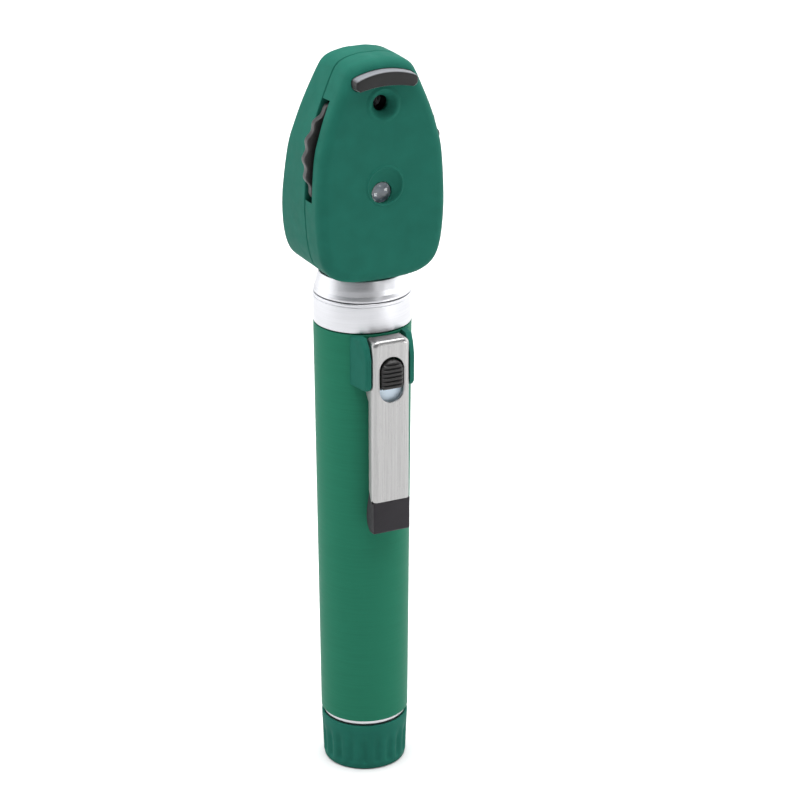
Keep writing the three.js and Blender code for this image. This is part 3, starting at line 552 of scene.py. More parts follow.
def make_barrel():
    thread_top, socket, bore = 18.4, 100.8, 8.1
    profile = [
        (9.05, BARREL_BOTTOM + 0.36, 0.1),
        (BARREL_R_LOW, BARREL_BOTTOM + 0.36, 0.3),
        (BARREL_R, BARREL_TOP, 0.12),
        (9.3, BARREL_TOP, 0.1),
        (9.3, socket, 0),
        (bore, socket, 0),
        (bore, thread_top, 0),
        (9.05, thread_top, 0),
    ]
    barrel = lathe("barrel_tube", profile, 192, closed=True)
    pocket = slab("pocket", box_loop(-2.5, 2.5, 92.5, 100.4, 0.4), "XZ", -13, -6)
    carve(barrel, pocket)
    dress(barrel, "green_anodised", "handle", "barrel")


def make_end_cap():
    """Screw cap with soft flutes that fade out towards its rim and its base."""
    flutes, per_flute, phase, depth = 20, 14, math.radians(1.3), 0.5
    segments = flutes * per_flute
    outside = fillet([
        (0, 0, 0), (9.25, 0, 0.2), (9.55, 1.3, 0.8), (9.62, 3.6, 3), (9.88, CAP_RIM, 0.35),
        (9.3, CAP_RIM, 0.1), (9.05, CAP_RIM - 0.5, 0.1), (9.05, 1.8, 0), (0, 1.8, 0),
    ], closed=False)
    fine = []
    for (ra, za), (rb, zb) in zip(outside, outside[1:]):
        parts = max(1, math.ceil(math.hypot(rb - ra, zb - za) / 0.6))
        fine += [(ra + (rb - ra) * k / parts, za + (zb - za) * k / parts) for k in range(parts)]
    fine.append(outside[-1])
    rings = []
    for radius, z in fine:
        rise = clamp((z - 0.6) / 1.6) * clamp((9.4 - z) / 4.0)
        sunk = depth * rise * rise * (3 - 2 * rise) if radius > 9.1 else 0.0
        ring = []
        for i in range(segments if radius > 1e-6 else 1):
            angle = TAU * i / segments
            wave = 0.5 - 0.5 * math.cos(flutes * (angle - phase))
            r = radius - sunk * wave ** 1.4
            ring.append((r * math.cos(angle), r * math.sin(angle), z))
        rings.append(ring)
    verts = []
    _, faces = ring_faces(verts, rings)
    cap = make_object("end_cap_fluted", verts, faces)
    dress(cap, "green_plastic", "cap", "end_cap")


def make_cap_sleeve():
    """Bright sleeve of the cap, with its screw thread as rounded ridges and a ring at the rim."""
    ridges = []
    z = BARREL_BOTTOM + 0.9
    while z < 17.2:
        ridges += [(8.75, z, 0.1), (8.55, z + 0.5, 0.1)]
        z += 1.0
    profile = [(7.8, 2.1, 0), (8.9, 2.1, 0.1), (8.9, CAP_RIM + 0.3, 0.1), (9.36, CAP_RIM + 0.42, 0.12),
               (9.36, RING_TOP, 0.12), (8.8, RING_TOP, 0.05), *ridges,
               (8.35, 17.8, 0.1), (7.8, 17.8, 0.1)]
    sleeve = lathe("cap_sleeve_bright", profile, 160, closed=True, steps=3)
    dress(sleeve, "turned_silver", "cap", "cap_sleeve")


def make_collar():
    r = BARREL_R
    groove = COLLAR_TOP - 0.75
    profile = [
        (8.1, 101.1, 0.1), (9.0, 101.1, 0.2), (9.0, COLLAR_BOTTOM, 0),
        (r, COLLAR_BOTTOM, 0.18), (r, groove - 0.1, 0.05), (r - 0.16, groove, 0.04), (r, groove + 0.1, 0.05),
        (r, COLLAR_TOP, 0.22),
        (8.95, COLLAR_TOP, 0.1), (8.95, 109.3, 0), (8.1, 109.3, 0),
    ]
    collar = lathe("collar_ring", profile, 192, closed=True)
    dress(collar, "turned_silver", "handle", "collar")


# ---- Clip, switch and bracket -------------------------------------------------------------


def make_clip_blade():
    """Folded stainless channel: flat face, bent-over sides and top, and an oval slot."""
    bend, steel, corner, land = 1.1, 0.6, 1.6, 0.25
    half, top, bottom = CLIP_HALF + 0.1, CLIP_TOP, CLIP_BOTTOM
    heights = [bottom, bottom + 0.8, bottom + 1.6, bottom + 2.4]
    while heights[-1] < top - corner - 1.2:
        heights.append(heights[-1] + 0.9)
    path = [(-half, h, -1.0, 0.0) for h in heights]
    for k in range(11):
        a = math.pi - math.pi / 2 * k / 10
        nx, nz = math.cos(a), math.sin(a)
        path.append((-half + corner + corner * nx, top - corner + corner * nz, nx, nz))
    rising = list(path)
    for k in range(1, 6):
        path.append((-half + corner + (2 * (half - corner)) * k / 6, top, 0.0, 1.0))
    path += [(-x, h, -nx, nz) for x, h, nx, nz in reversed(rising)]

    def depth(h):
        if h < bottom + 2.4:
            return 1.5 + (h - bottom) / 2.4
        if 92.4 < h < 93.6:
            return 2.5 + 1.4 * (h - 92.4) / 1.2
        return 3.9 if h >= 93.6 else 2.5

    steps = 8
    arc = quarter(steps)
    small = bend - steel
    columns = []
    for x, h, nx, nz in path:
        d = depth(h) if abs(nz) < 0.98 else 3.2
        column = [(0.0, d), (0.0, (d + bend) / 2)]
        column += [(bend * c, bend * s) for c, s in arc]
        column += [(bend + land, 0.0), (bend + land, steel)]
        column += [(steel + small * c, steel + small * s) for c, s in reversed(arc)]
        column += [(steel, (d + bend) / 2), (steel, d)]
        columns.append([(x - nx * distance, CLIP_Y + w, h - nz * distance) for distance, w in column])
    outer, inner = steps + 3, steps + 4
    verts = []
    rows, _ = ring_faces(verts, columns)
    faces = [rows[0], rows[-1]]
    for low, high in zip(rows, rows[1:]):
        faces += [face for i, face in enumerate(band(low, high)) if i != outer]
    slot_loop = oval_loop(SLOT_HALF, SLOT_BOTTOM, SLOT_TOP)
    roll = 0.14
    rim = ((-roll - 0.15, 0.0), (-roll, 0.0), (-roll * 0.62, roll * 0.12), (-roll * 0.29, roll * 0.4),
           (0.0, roll), (0.0, steel))
    rings = [[(u, CLIP_Y + w, v) for u, v in inset(slot_loop, d)] for d, w in rim]
    slot_rows, found = ring_faces(verts, rings)
    faces += found
    faces += fill_flat(verts, [row[outer] for row in rows], [slot_rows[0]])
    faces += fill_flat(verts, [row[inner] for row in rows], [slot_rows[-1]])
    faces.append((rows[0][outer], rows[-1][outer], rows[-1][inner], rows[0][inner]))
    blade = make_object("clip_blade_steel", verts, faces)
    dress(blade, "stainless", "clip", "clip_blade")


def oval_loop(half, bottom, top, count=32):
    upper = [(half * math.cos(math.pi * k / count), top - half + half * math.sin(math.pi * k / count))
             for k in range(count + 1)]
    return upper + [(-u, bottom + top - v) for u, v in upper]


def fill_flat(verts, border, holes):
    """Triangles between a border loop and hole loops that lie in one XZ plane."""
    bm = bmesh.new()
    made = {}
    for loop in [border, *holes]:
        corners = []
        for index in loop:
            if index not in made:
                made[index] = bm.verts.new(verts[index])
            corners.append(made[index])
        for a, b in zip(corners, corners[1:] + corners[:1]):
            if bm.edges.get((a, b)) is None:
                bm.edges.new((a, b))
    number = {vert: index for index, vert in made.items()}
    bmesh.ops.triangle_fill(bm, use_beauty=True, use_dissolve=False, edges=bm.edges[:])
    faces = [tuple(number[vert] for vert in face.verts) for face in bm.faces]
    bm.free()
    return faces


def make_clip_foot():
    """Plastic foot with a flat face and a rounded side towards the barrel."""
    front = CLIP_Y + 0.05
    low, high = FOOT_BOTTOM - 0.5, CLIP_BOTTOM - 0.08
    back = FOOT_BACK
    loop = fillet([
        (front, high, 0.1), (front, low + 0.2, 0.6), (front + 0.9, low, 0.6), (back - 1.7, low, 0.7),
        (back - 0.5, low + 1.3, 1.2), (back, low + 3.3, 2.5), (back - 0.35, low + 5.4, 2.5),
        (back - 1.5, high + 2.2, 0.6), (front + 2.4, high + 2.4, 0.2), (front + 1.0, high + 0.1, 0.05),
    ])
    foot = slab("clip_foot_moulded", resample(loop, 0.6), "YZ", -4.4, 4.4, 0.35, 0.35, steps=4)
    dress(foot, "charcoal_plastic", "clip", "clip_foot")


def make_bracket():
    """Green bracket: two ears that flank the clip, and the bridge behind it."""
    inner, thin, wide = 4.62, 1.15, 2.25
    loop = fillet([
        (-8.0, 94.9, 0.2), (-13.3, 94.9, 0.9), (-14.25, 96.0, 0.7), (-14.25, 102.3, 2.2),
        (-13.4, 104.8, 2.2), (-11.9, 106.55, 0.4), (-8.0, 106.55, 0.2),
    ])
    loop = resample(loop, 0.5)
    ears = [ear_solid(f"ear{side}", loop, side, inner, thin, wide) for side in (-1, 1)]
    web = slab("web", box_loop(-5.2, 5.2, 96.3, 102.6, 0.3), "XZ", -8.5, -11.35)
    base = slab("base", box_loop(-3.2, 3.2, 91.4, 102.6, 0.4), "XZ", -8.5, -12.0, 0, 0.2)
    for solid in (*ears, web, base):
        carve(solid, rod("seat", BARREL_R, 85, 115, 192, axis="Z"))
    bracket = ears[0]
    merge(bracket, ears[1], web, base)
    bracket.name = "switch_bracket_ears"
    dress(bracket, "green_plastic", "handle", "switch_bracket")


def ear_solid(name, loop, side, inner, thin, wide):
    """One ear: flat inside, outside leaning out towards the barrel, softly rounded rim."""
    loop = loop if signed_area(loop) > 0 else loop[::-1]
    radius = 0.55
    levels = [(0.0, 0.0)] + [(radius * c, 1 - radius * s / thin) for c, s in quarter(5)]
    rings = []
    for distance, share in levels:
        ring = []
        for y, z in inset(loop, distance) if distance else loop:
            width = thin + (wide - thin) * clamp((y + 14.25) / 5.85)
            ring.append((side * (inner + share * width), y, z))
        rings.append(ring)
    return capped(name, rings)


def signed_area(loop):
    return sum(ax * by - bx * ay for (ax, ay), (bx, by) in zip(loop, loop[1:] + loop[:1])) / 2


def make_switch_button():
    """Thumb slide with seven rounded ribs across it."""
    half, bottom, top = 2.55, 95.4, 102.0
    front, root, back = -15.75, -15.2, -13.8
    ribs, per_rib, across = 7, 14, 24
    pitch = (top - bottom) / ribs

    def half_at(z):
        over = max(0.0, z - (top - half))
        under = max(0.0, 1 - (z - bottom) / 0.9)
        return math.sqrt(max(half * half - over * over, 0.0)) - 0.35 * under * under

    rings = []
    for i in range(ribs * per_rib + 1):
        z = bottom + (top - bottom) * i / (ribs * per_rib)
        h = max(half_at(z), 0.35)
        share = ((z - bottom) / pitch) % 1.0
        crest = max(0.0, 1 - abs(share - 0.5) / 0.36)
        crest = math.sqrt(max(0.0, 1 - (1 - crest) ** 2))
        edge = clamp((top - z) / 0.5) * clamp((z - bottom + 0.02) / 0.12)
        ring = [(-h, back, z)]
        for k in range(across + 1):
            u = -1 + 2 * k / across
            soft = max(0.0, 1 - abs(u) ** 10)
            y = root + (front - root) * crest * edge * soft
            ring.append((u * h, y + 0.12 * u * u, z))
        rings.append(ring + [(h, back, z)])
    button = capped("switch_button_ribbed", rings, sharp=40)
    stem = slab("stem", box_loop(-1.2, 1.2, 97.8, 99.8, 0.2), "XZ", -8.9, -13.9)
    merge(button, stem, sharp=40)
    dress(button, "black_plastic", "switch", "switch_button")


def make_indicator():
    loop = box_loop(-3.0, 3.0, 91.4, 94.9, 0.4)
    plate = slab("indicator_tile", loop, "XZ", -12.3, -13.5, 0.05, 0.12, steps=3)
    dress(plate, "pale_plastic", "handle", "indicator_plate")


# ---- Head ---------------------------------------------------------------------------------


def head_loop():
    """Egg-shaped outline of the head in the XZ plane, counterclockwise from the bottom."""
    right = [
        (4.3, 118.5), (7.2, 118.8), (9.5, 119.35), (11.6, 120.5), (13.2, 122.4), (14.25, 125.6),
        (14.85, 130.5), (15.0, 136.5), (14.4, 145.8), (13.2, 151.0), (11.6, 155.8), (9.1, 161.5),
        (8.35, 163.1), (7.65, 164.4), (6.7, 165.4), (5.4, 166.05), (3.7, 166.5), (1.9, 166.78),
    ]
    left = [(-x, z) for x, z in reversed(right)]
    return smooth_loop([(0, HEAD_BOTTOM), *right, (0, HEAD_TOP), *left], per_span=12)


def shrink(loop, distance):
    """Head outline drawn in evenly by scaling, so that its corners never fold over."""
    wide = 1 - distance / HEAD_HALF
    tall = 1 - 2 * distance / (HEAD_TOP - HEAD_BOTTOM)
    return [(u * wide, HEAD_MIDDLE + (v - HEAD_MIDDLE) * tall) for u, v in loop]


def feature(verts, centre_path, profile, count=72):
    """Sunk or raised round feature in the face: circles of (radius, depth) on a moving centre."""
    rings = []
    for (cx, cz), (radius, depth) in zip(centre_path, profile):
        rings.append([(u, FACE_Y + depth, v) for u, v in circle(radius, (cx, cz), count)])
    return ring_faces(verts, rings)


def brow_loop(grow=0.0, count=24):
    """Crescent outline of the brow rest, thinner at its ends, grown by a clearance."""
    low_r, high_r, low_z, high_z, half, tip = 25.0, 17.5, 161.85, 164.65, 6.95, 0.95
    low_end, high_end = half - 0.85, half - 1.05
    lower = [(x, low_z - low_r + math.sqrt(low_r ** 2 - x * x)) for x in
             (-low_end + 2 * low_end * k / count for k in range(count + 1))]
    upper = [(x, high_z - high_r + math.sqrt(high_r ** 2 - x * x)) for x in
             (high_end - 2 * high_end * k / count for k in range(count + 1))]
    points = [(u, v, 0) for u, v in lower]
    points += [(half, 161.75, tip), (half, 163.1, tip)]
    points += [(u, v, 0) for u, v in upper]
    points += [(-half, 163.1, tip), (-half, 161.75, tip)]
    return inset(resample(fillet(points), 0.35), -grow)


def make_examiner_shell():
    """Front casing: flat face with a sight dish, a readout scoop and a pocket for the brow rest."""
    edge, wall = 2.4, 1.7
    floor = FACE_Y + wall
    levels = [(wall + 0.6, floor), (wall, floor + 0.6), (wall, SEAM_FRONT), (0.15, SEAM_FRONT),
              (0.0, SEAM_FRONT - 0.15), (0.0, -5.6), (0.0, -7.4)]
    levels += [(edge * c, FACE_Y + edge * s) for c, s in quarter(12)]
    levels.append((edge + 0.3, FACE_Y))
    loop = head_loop()
    verts = []
    rows, faces = ring_faces(verts, [[crown(u, y, v) for u, v in shrink(loop, d)] for d, y in levels])

    sight = smooth_steps([(4.35, 0.0), (4.0, 0.0), (3.6, -0.14), (3.3, -0.2), (2.95, -0.02), (2.35, 0.75),
                          (1.9, 1.35), (1.72, 1.6), (1.67, 1.8)])
    sight += [(2.05, 2.2), (2.05, 3.2), (2.6, 3.2), (2.6, wall)]
    sight_rows, found = feature(verts, [(0, SIGHT_Z)] * len(sight), sight)
    faces += found

    scoop = smooth_steps([(4.75, 0.0, 1.0), (4.45, 0.0, 1.0), (4.15, -0.2, 1.0), (3.95, -0.15, 0.98),
                          (3.7, 0.25, 0.85), (3.25, 0.65, 0.55), (2.85, 0.9, 0.25), (2.55, 1.0, 0.05),
                          (2.42, 1.05, 0.0), (2.36, 1.2, 0.0)])
    scoop += [(2.36, 2.6, 0.0), (3.1, 2.6, 0.0), (3.1, wall, 0.0)]
    centres = [(0.25 * share, READOUT_Z + 1.75 * share) for _, _, share in scoop]
    scoop_rows, found = feature(verts, centres, [(r, d) for r, d, _ in scoop])
    faces += found
    faces += fill_flat(verts, rows[-1], [sight_rows[0], scoop_rows[0]])
    faces += fill_flat(verts, rows[0], [sight_rows[-1], scoop_rows[-1]])

    shell = make_object("examiner_shell_face", verts, faces)
    wheel_room = rod("room", 17.1, -7.3, -2.5, 240, (0, WHEEL_Z))
    brow_pocket = slab("brow_pocket", brow_loop(0.42), "XZ", -14, FACE_Y + 1.1)
    carve(shell, wheel_room, neck_room(), brow_pocket)
    dress(shell, "green_plastic", "head", "examiner_shell")


def neck_room():
    """Round opening for the neck in the casing's underside."""
    return rod("neck_room", 8.3, 116, 124, 128, axis="Z")


def back_surface(z):
    """Y of the rear casing's back at a height: upright below, leaning in above."""
    soft = 2.5
    rise = soft * math.log1p(math.exp((z - BACK_SLOPE_Z) / soft))
    return BACK_Y - math.tan(BACK_TILT) * rise


def crown(u, y, v):
    """Point of the casing's skin, which swells a little from the face's rim to its upper rear edge."""
    start, reach, widen, lift = 152, 14, 0.035, 0.2
    high = clamp((v - start) / reach)
    deep = clamp((y - FACE_Y - 1) / (SEAM_BACK + 1.5 - FACE_Y))
    swell = high * high * (3 - 2 * high) * deep * (2 - deep)
    return u * (1 + widen * swell), y, v + lift * swell


def casing_rings(loop, wall, edge, steps):
    """Rings of the rear casing's skin, from the seam round the rear edge to the back's middle."""
    rings = [[(u, SEAM_BACK, v) for u, v in shrink(loop, max(wall, 0.15))]]
    for share in (0.0, 0.25, 0.5, 0.75, 1.0):
        ring = []
        for u, v in shrink(loop, wall):
            rim = back_surface(v) - wall - edge
            ring.append((u, SEAM_BACK + 0.15 + share * (rim - SEAM_BACK - 0.15), v))
        rings.append(ring)
    for c, s in quarter(steps)[1:]:
        rings.append([(u, back_surface(v) - wall - edge * s, v) for u, v in shrink(loop, wall + edge * c)])
    for share in (0.96, 0.8, 0.6, 0.4, 0.2, 0.06):
        ring = []
        for x, _, z in rings[5 + steps]:
            px, pz = x * share, HEAD_MIDDLE + (z - HEAD_MIDDLE) * share
            ring.append((px, back_surface(pz) - wall, pz))
        rings.append(ring)
    return [[crown(*point) for point in ring] for ring in rings]


def make_patient_shell():
    """Rear casing: deepens downwards, with a window, a wheel slot and screw wells in its back."""
    loop = head_loop()
    shell = capped("patient_shell_body",
                   casing_rings(loop, 1.7, 1.2, 5)[::-1] + casing_rings(loop, 0.0, 2.6, 12))
    cutters = [neck_room(), slab("slot", box_loop(-6.7, 6.7, 130.7, 133.7, 0.7), "XZ", 6, 14),
               tilted_block("recess", 8.2, 9.6, -2, 1.0, 1.2), tilted_block("opening", 6.2, 7.6, -2, 5, 0.9)]
    cups = []
    for place in SCREWS:
        top = back_surface(place[1]) - 0.9
        cutters.append(rod("well", 1.8, 0, 14, 48, place))
        profile = [(0, 1.55, 0), (1.8, 1.55, 0), (1.8, top, 0), (2.6, top, 0), (2.6, 0.9, 0), (0, 0.9, 0)]
        cups.append(lathe("cup", profile, 48, place, "Y"))
    carve(shell, *cutters)
    back = SEAM_BACK + 1.5
    lip = outline_band("lip", [(1.9, back), (1.9, -6.9), (2.7, -6.9), (2.7, back)], loop)
    carve(lip, rod("room", 16.6, -7.3, 2.5, 240, (0, WHEEL_Z)), neck_room())
    merge(shell, lip, *cups)
    dress(shell, "green_plastic", "head", "patient_shell")


def outline_band(name, section, loop):
    """Closed band that follows the head's outline, from a section of (inset, y) points."""
    verts = []
    rows, faces = ring_faces(verts, [[(u, y, v) for u, v in shrink(loop, d)] for d, y in section])
    return make_object(name, verts, faces + band(rows[-1], rows[0]))


def tilted_block(name, width, height, outer, inner, corner):
    """Closed block in the leaning back wall at the window, between two depths below its skin."""
    loop = box_loop(-width / 2, width / 2, -height / 2, height / 2, corner)
    obj = slab(name, loop, "XZ", -inner, -outer, 0.05, 0.05, steps=2)
    centre_y = BACK_Y - (WINDOW_Z - BACK_SLOPE_Z) * math.tan(BACK_TILT)
    move = Matrix.Translation((0, centre_y * MM, WINDOW_Z * MM))
    obj.data.transform(move @ Matrix.Rotation(BACK_TILT, 4, "X"))
    return obj


def make_brow_rest():
    """Soft bar that widens slightly towards the casing, on two pegs."""
    back, front, edge = FACE_Y + 1.15, -13.15, 0.45
    levels = [(-0.3, back), (-0.22, (back + front) / 2)]
    levels += [(-0.15 + edge * c, front + edge * s) for c, s in quarter(6)]
    loop = brow_loop()
    bar = capped("brow_rest_pad", [[(u, y, v) for u, v in inset(loop, d)] for d, y in levels])
    profile = [(0, -10.5, 0), (0.8, -10.5, 0), (0.8, -9, 0.1), (0, -9, 0)]
    merge(bar, *(lathe("peg", profile, 24, (x, 162.9), "Y") for x in (-4.2, 4.2)))
    dress(bar, "dark_rubber", "head", "brow_rest")


def make_readout_lens():
    """Domed magnifier over the number ring."""
    r, y = 2.25, FACE_Y + 1.5
    dome = [math.radians(d) for d in range(15, 90, 12)]
    profile = [(0, y + 1.3, 0), (r, y + 1.3, 0.1), (r, y + 0.1, 0.25)]
    profile += [(r * math.cos(a), y + 0.1 - 0.75 * math.sin(a), 0) for a in dome]
    profile.append((0, y - 0.66, 0))
    lens = lathe("readout_magnifier", profile, 64, (0, READOUT_Z), "Y")
    dress(lens, "clear_glass", "head", "readout_lens")


def make_neck():
    r = BARREL_R
    profile = [
        (7.6, 109.7, 0.1), (8.6, 109.7, 0.2), (8.6, 113.72, 0),
        (r - 0.05, 113.72, 0.15), (r - 0.12, 114.2, 0.4), (10.35, 114.95, 0.8), (10.12, 116.1, 1.2),
        (9.77, 117.35, 0.8), (9.5, 118.28, 0.25), (8.0, 118.28, 0.1), (8.0, 121.2, 0),
        (8.9, 121.2, 0.1), (8.9, 122.6, 0.1), (5.2, 122.6, 0.1), (5.2, 111.9, 0), (7.6, 111.9, 0),
    ]
    neck = lathe("neck_shoulder", profile, 192, closed=True)
    dress(neck, "turned_silver", "head", "neck")


def make_lens_wheel():
    """Scalloped finger wheel with a ring of lens cells."""
    loop = scalloped(WHEEL_PEAK_R, WHEEL_WAVE, 24, 14, phase=math.radians(-3.5))
    wheel = slab("lens_wheel_scalloped", loop, "XZ", WHEEL_FRONT, WHEEL_BACK, 0.3, 0.3, steps=4)
    wheel.data.transform(Matrix.Translation((0, 0, WHEEL_Z * MM)))
    cutters = [rod("hub", 1.5, -12, 0, 32, (0, WHEEL_Z))]
    cutters += [rod("cell", 1.6, -12, 0, 32, place)
                for place in circle(CELL_RING_R, (0, WHEEL_Z), CELLS, math.pi / 2)]
    carve(wheel, *cutters)
    dress(wheel, "black_plastic", "lens_disc", "lens_wheel")


def make_number_ring():
    """Pale ring of power figures on the front of the lens wheel, seen through the readout lens."""
    profile = [(5.0, -6.32, 0.03), (9.0, -6.32, 0.03), (9.0, -6.12, 0), (5.0, -6.12, 0)]
    ring = lathe("number_ring", profile, 96, (0, WHEEL_Z), "Y", closed=True, steps=2)
    dress(ring, "pale_plastic", "lens_disc")
    centre = Matrix.Translation((0, 0, WHEEL_Z * MM))
    lift = Matrix.Translation((0, -6.34 * MM, -7.0 * MM))
    stand = Matrix.Rotation(math.pi / 2, 4, "X")
    figures = []
    for i in range(CELLS):
        curve = bpy.data.curves.new("figure", "FONT")
        curve.body = str((i + 12) % CELLS)
        curve.size = 1.9 * MM
        curve.extrude = 0.03 * MM
        curve.resolution_u = 3
        curve.align_x, curve.align_y = "CENTER", "CENTER"
        source = add_object("figure", curve)
        graph = bpy.context.evaluated_depsgraph_get()
        mesh = bpy.data.meshes.new_from_object(source.evaluated_get(graph))
        bpy.data.objects.remove(source)
        mesh.transform(centre @ Matrix.Rotation(-TAU * i / CELLS, 4, "Y") @ lift @ stand)
        figures.append(add_object(f"figure_{i:02d}", mesh))
    figures[0].name = "number_figures"
    merge(figures[0], *figures[1:])
    dress(figures[0], "black_plastic", "lens_disc")


def make_lens_powers():
    """Round lenses in the wheel's cells, each a little flatter or rounder than the next."""
    for i in range(1, CELLS):
        name = f"lens_{i:02d}"
        low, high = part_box(name)
        centre = ((low[X] + high[X]) / 2 / MM, (low[Z] + high[Z]) / 2 / MM)
        y0, y1 = low[Y] / MM, high[Y] / MM
        bulge = min(0.45, 0.05 * abs(i - 7.5))
        front = [(0, y0, 0), (0.75, y0 + 0.3 * bulge, 0), (1.45, y0 + bulge, 0.05)]
        back = [(1.45, y1 - bulge, 0.05), (0.75, y1 - 0.3 * bulge, 0), (0, y1, 0)]
        lens = lathe(f"{name}_glass", front + back, 40, centre, "Y", steps=2)
        dress(lens, "clear_glass", "lens_disc", name)


def make_aperture_wheel():
    """Scalloped wheel behind the light path, with five openings."""
    low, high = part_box("aperture_wheel")
    centre = (0, (low[Y] + high[Y]) / 2 / MM)
    loop = scalloped(7.4, 0.2, 20, 12, centre)
    wheel = slab("aperture_wheel_scalloped", loop, "XY", low[Z] / MM, high[Z] / MM, 0.25, 0.25, steps=4)
    cutters = [rod("hub", 1.2, 125, 140, 32, centre, "Z")]
    for radius, place in zip((1.5, 0.8, 1.2, 0.5, 1.5), circle(4.3, centre, 5, -math.pi / 2)):
        cutters.append(rod("hole", radius, 125, 140, 32, place, "Z"))
    carve(wheel, *cutters)
    dress(wheel, "black_plastic", "aperture_disc", "aperture_wheel")


def make_window():
    """Clear plate in the recess of the leaning back wall."""
    plate = tilted_block("window_plate", 7.6, 9.0, 0.2, 0.9, 0.9)
    dress(plate, "clear_glass", "head", "window")


def make_screws():
    """Cross-headed screws in the wells of the back."""
    profile = [(0, -7.9, 0), (0.8, -7.6, 0.1), (0.85, 1.6, 0), (1.5, 1.65, 0.1), (1.5, 2.3, 0.2),
               (1.1, 2.75, 0.4), (0, 2.8, 0)]
    for number, (x, z) in enumerate(SCREWS, 1):
        screw = lathe(f"shell_screw_{number}_cross", profile, 48, (x, z), "Y")
        for a, b in ((0.8, 0.16), (0.16, 0.8)):
            carve(screw, slab("arm", box_loop(x - a, x + a, z - b, z + b), "XZ", 2.2, 4))
        dress(screw, "stainless", "head", f"shell_screw_{number}")


def make_batteries():
    """Two jacketed cells with a plus nub each."""
    for name in ("battery_lower", "battery_upper"):
        low, high = span(name, Z)
        profile = [
            (5.6, low + 0.25, 0.05), (7.0, low + 0.25, 0.3), (7.1, low + 0.8, 0.1),
            (7.1, high - 2.1, 0.1), (7.0, high - 1.45, 0.3), (5.2, high - 1.45, 0.05),
        ]
        dress(lathe(f"{name}_jacket", profile, 96, closed=True), "cell_jacket", "handle", name)
        profile = [
            (0, low, 0), (5.4, low, 0.3), (5.9, low + 0.5, 0.1), (5.9, high - 1.6, 0.2),
            (2.7, high - 1.6, 0.2), (2.6, high - 0.2, 0.3), (2.2, high, 0.2), (0, high, 0),
        ]
        dress(lathe(f"{name}_can", profile, 96), "stainless", "handle", name)


def make_battery_spring():
    """Conical contact spring on its seat."""
    low, high = span("battery_spring", Z)
    turns, steps = 4.5, 40
    points = []
    for k in range(int(turns * steps) + 1):
        share = k / (turns * steps)
        angle = TAU * turns * share
        r = 4.55 - 1.3 * share
        points.append((r * math.cos(angle), r * math.sin(angle), low + 0.3 + share * (high - low - 0.6)))
    dress(tube("battery_spring_wire", points, 0.32), "copper_alloy", "cap_lead", "battery_spring")
    low, high = span("spring_seat", Z)
    profile = [(0, low, 0), (7.3, low, 0.1), (7.3, high, 0.15), (5.2, high, 0.1), (5.0, high - 0.15, 0.1),
               (0, high - 0.15, 0)]
    dress(lathe("spring_seat_disc", profile, 96), "brass", "cap_lead", "spring_seat")


def make_lamp():
    """Lamp base, its domed bulb and the two lenses of the light path."""
    low, high = span("lamp_base", Z)
    profile = [
        (1.7, low, 0.1), (4.8, low, 0.3), (4.8, high - 1.4, 0.1), (4.5, high - 1.2, 0.1),
        (4.5, high, 0.3), (0.7, high, 0), (0.7, 118, 0), (1.7, 118, 0),
    ]
    dress(lathe("lamp_base_turned", profile, 72, closed=True), "brass", "head", "lamp_base")
    low, high = span("lamp_dome", Z)
    profile = [(0, low, 0), (2.4, low, 0.1), (2.4, low + 1.0, 0.2), (2.1, low + 2.0, 0.8),
               (1.2, high - 0.25, 0.8), (0, high, 0)]
    dress(lathe("lamp_dome_round", profile, 56, (0, OPTICS_Y)), "lamp_lens", "head", "lamp_dome")
    for name in ("condenser_lens", "objective_lens"):
        low, high = span(name, Z)
        middle, half = (low + high) / 2, (high - low) / 2
        curve = [(0, 1.0, 0), (1.5, 0.8, 0), (2.4, 0.5, 0), (3.0, 0.25, 0.05)]
        profile = [(r, middle - half * share, corner) for r, share, corner in curve]
        profile += [(r, middle + half * share, corner) for r, share, corner in reversed(curve)]
        lens = lathe(f"{name}_ground", profile, 56, (0, OPTICS_Y), steps=2)
        dress(lens, "clear_glass", "head", name)


PIECES = [
    make_barrel, make_end_cap, make_cap_sleeve, make_collar, make_clip_blade, make_clip_foot, make_bracket,
    make_switch_button, make_indicator, make_examiner_shell, make_patient_shell, make_brow_rest,
    make_readout_lens, make_neck, make_lens_wheel, make_number_ring, make_lens_powers, make_aperture_wheel,
    make_window, make_screws, make_batteries, make_battery_spring, make_lamp,
]
for make in PIECES:
    make()

slot_of = {row["node"]: row["material_slot"] for row in frame["record"]["subparts"]}
for node, obj in frame["nodes"].items():
    obj.data.materials.clear()
    obj.data.materials.append(LOOKS[slot_of[node]])


# ---- Camera, floor and light --------------------------------------------------------------


def make_camera():
    data = bpy.data.cameras.new("camera")
    data.lens = 117
    data.sensor_width = 36
    data.sensor_fit = "HORIZONTAL"
    data.clip_start = 0.01
    data.clip_end = 20
    camera = add_object("camera", data)
    camera.location = (-0.2273, -0.4848, 0.2973)
    turn, down = math.radians(26), math.radians(21.39)
    level = math.cos(down)
    forward = Vector((math.sin(turn) * level, math.cos(turn) * level, -math.sin(down)))
    camera.rotation_euler = forward.to_track_quat("-Z", "Y").to_euler()
    bpy.context.scene.camera = camera


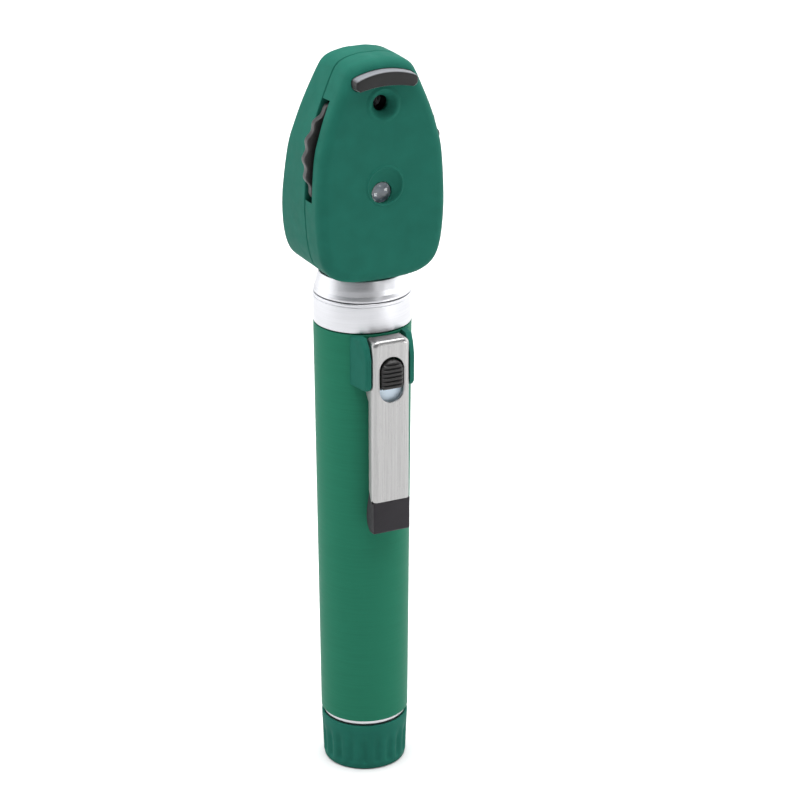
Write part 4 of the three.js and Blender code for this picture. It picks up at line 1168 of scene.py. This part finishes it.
def make_floor():
    half, gap = 6.0, 0.0002
    mesh = bpy.data.meshes.new("floor")
    corners = [(-half, -half, 0), (half, -half, 0), (half, half, 0), (-half, half, 0)]
    mesh.from_pydata(corners, [], [(0, 1, 2, 3)])
    floor = add_object("floor", mesh)
    floor.location.z = -gap
    finish = Finish("floor_paper", (0.6, 0.6, 0.6), 0.9)
    finish.vary_color(finish.noise(0.02), 0.99, 1.01)
    mesh.materials.append(finish.material)


def area_light(name, place, target, size, power):
    data = bpy.data.lights.new(name, "AREA")
    data.shape = "RECTANGLE"
    data.size, data.size_y = size
    data.energy = power
    light = add_object(name, data)
    light.location = place
    light.rotation_euler = (Vector(target) - Vector(place)).to_track_quat("-Z", "Y").to_euler()
    light.visible_camera = False


def overhead_sun():
    """Even, very soft light from straight above, which keeps the whole floor white."""
    data = bpy.data.lights.new("overhead", "SUN")
    data.energy = 5.4
    data.angle = math.radians(70)
    add_object("overhead", data).location = (0, 0, 1)


def make_world():
    """Soft white room that is a little darker behind the camera."""
    world = bpy.data.worlds.new("studio")
    world.use_nodes = True
    tree = world.node_tree
    place = tree.nodes.new("ShaderNodeTexCoord")
    split = tree.nodes.new("ShaderNodeSeparateXYZ")
    tree.links.new(place.outputs["Generated"], split.inputs["Vector"])
    ramp = tree.nodes.new("ShaderNodeMapRange")
    for socket, value in (("From Min", -1.0), ("From Max", 0.8), ("To Min", 0.12), ("To Max", 0.9)):
        ramp.inputs[socket].default_value = value
    tree.links.new(split.outputs["Y"], ramp.inputs["Value"])
    background = tree.nodes["Background"]
    background.inputs["Color"].default_value = (0.93, 0.97, 1.0, 1)
    tree.links.new(ramp.outputs["Result"], background.inputs["Strength"])
    bpy.context.scene.world = world


def make_lights():
    """Wide soft boxes beside the piece, two small glints for the readout lens, and the sun above."""
    middle = (0, 0, 0.1)
    area_light("left_box", (-0.62, 0.42, 0.3), middle, (0.85, 0.9), 3.2)
    area_light("right_box", (0.8, 0.04, 0.3), middle, (1.2, 0.9), 5.6)
    lens = (0, FACE_Y * MM, READOUT_Z * MM)
    area_light("low_glint", (0.32, -0.4, 0.09), lens, (0.11, 0.11), 0.32)
    area_light("high_glint", (0.16, -0.6, 0.3), lens, (0.09, 0.09), 0.2)
    overhead_sun()


make_camera()
make_floor()
make_world()
make_lights()
bpy.context.scene.view_settings.view_transform = "Standard"
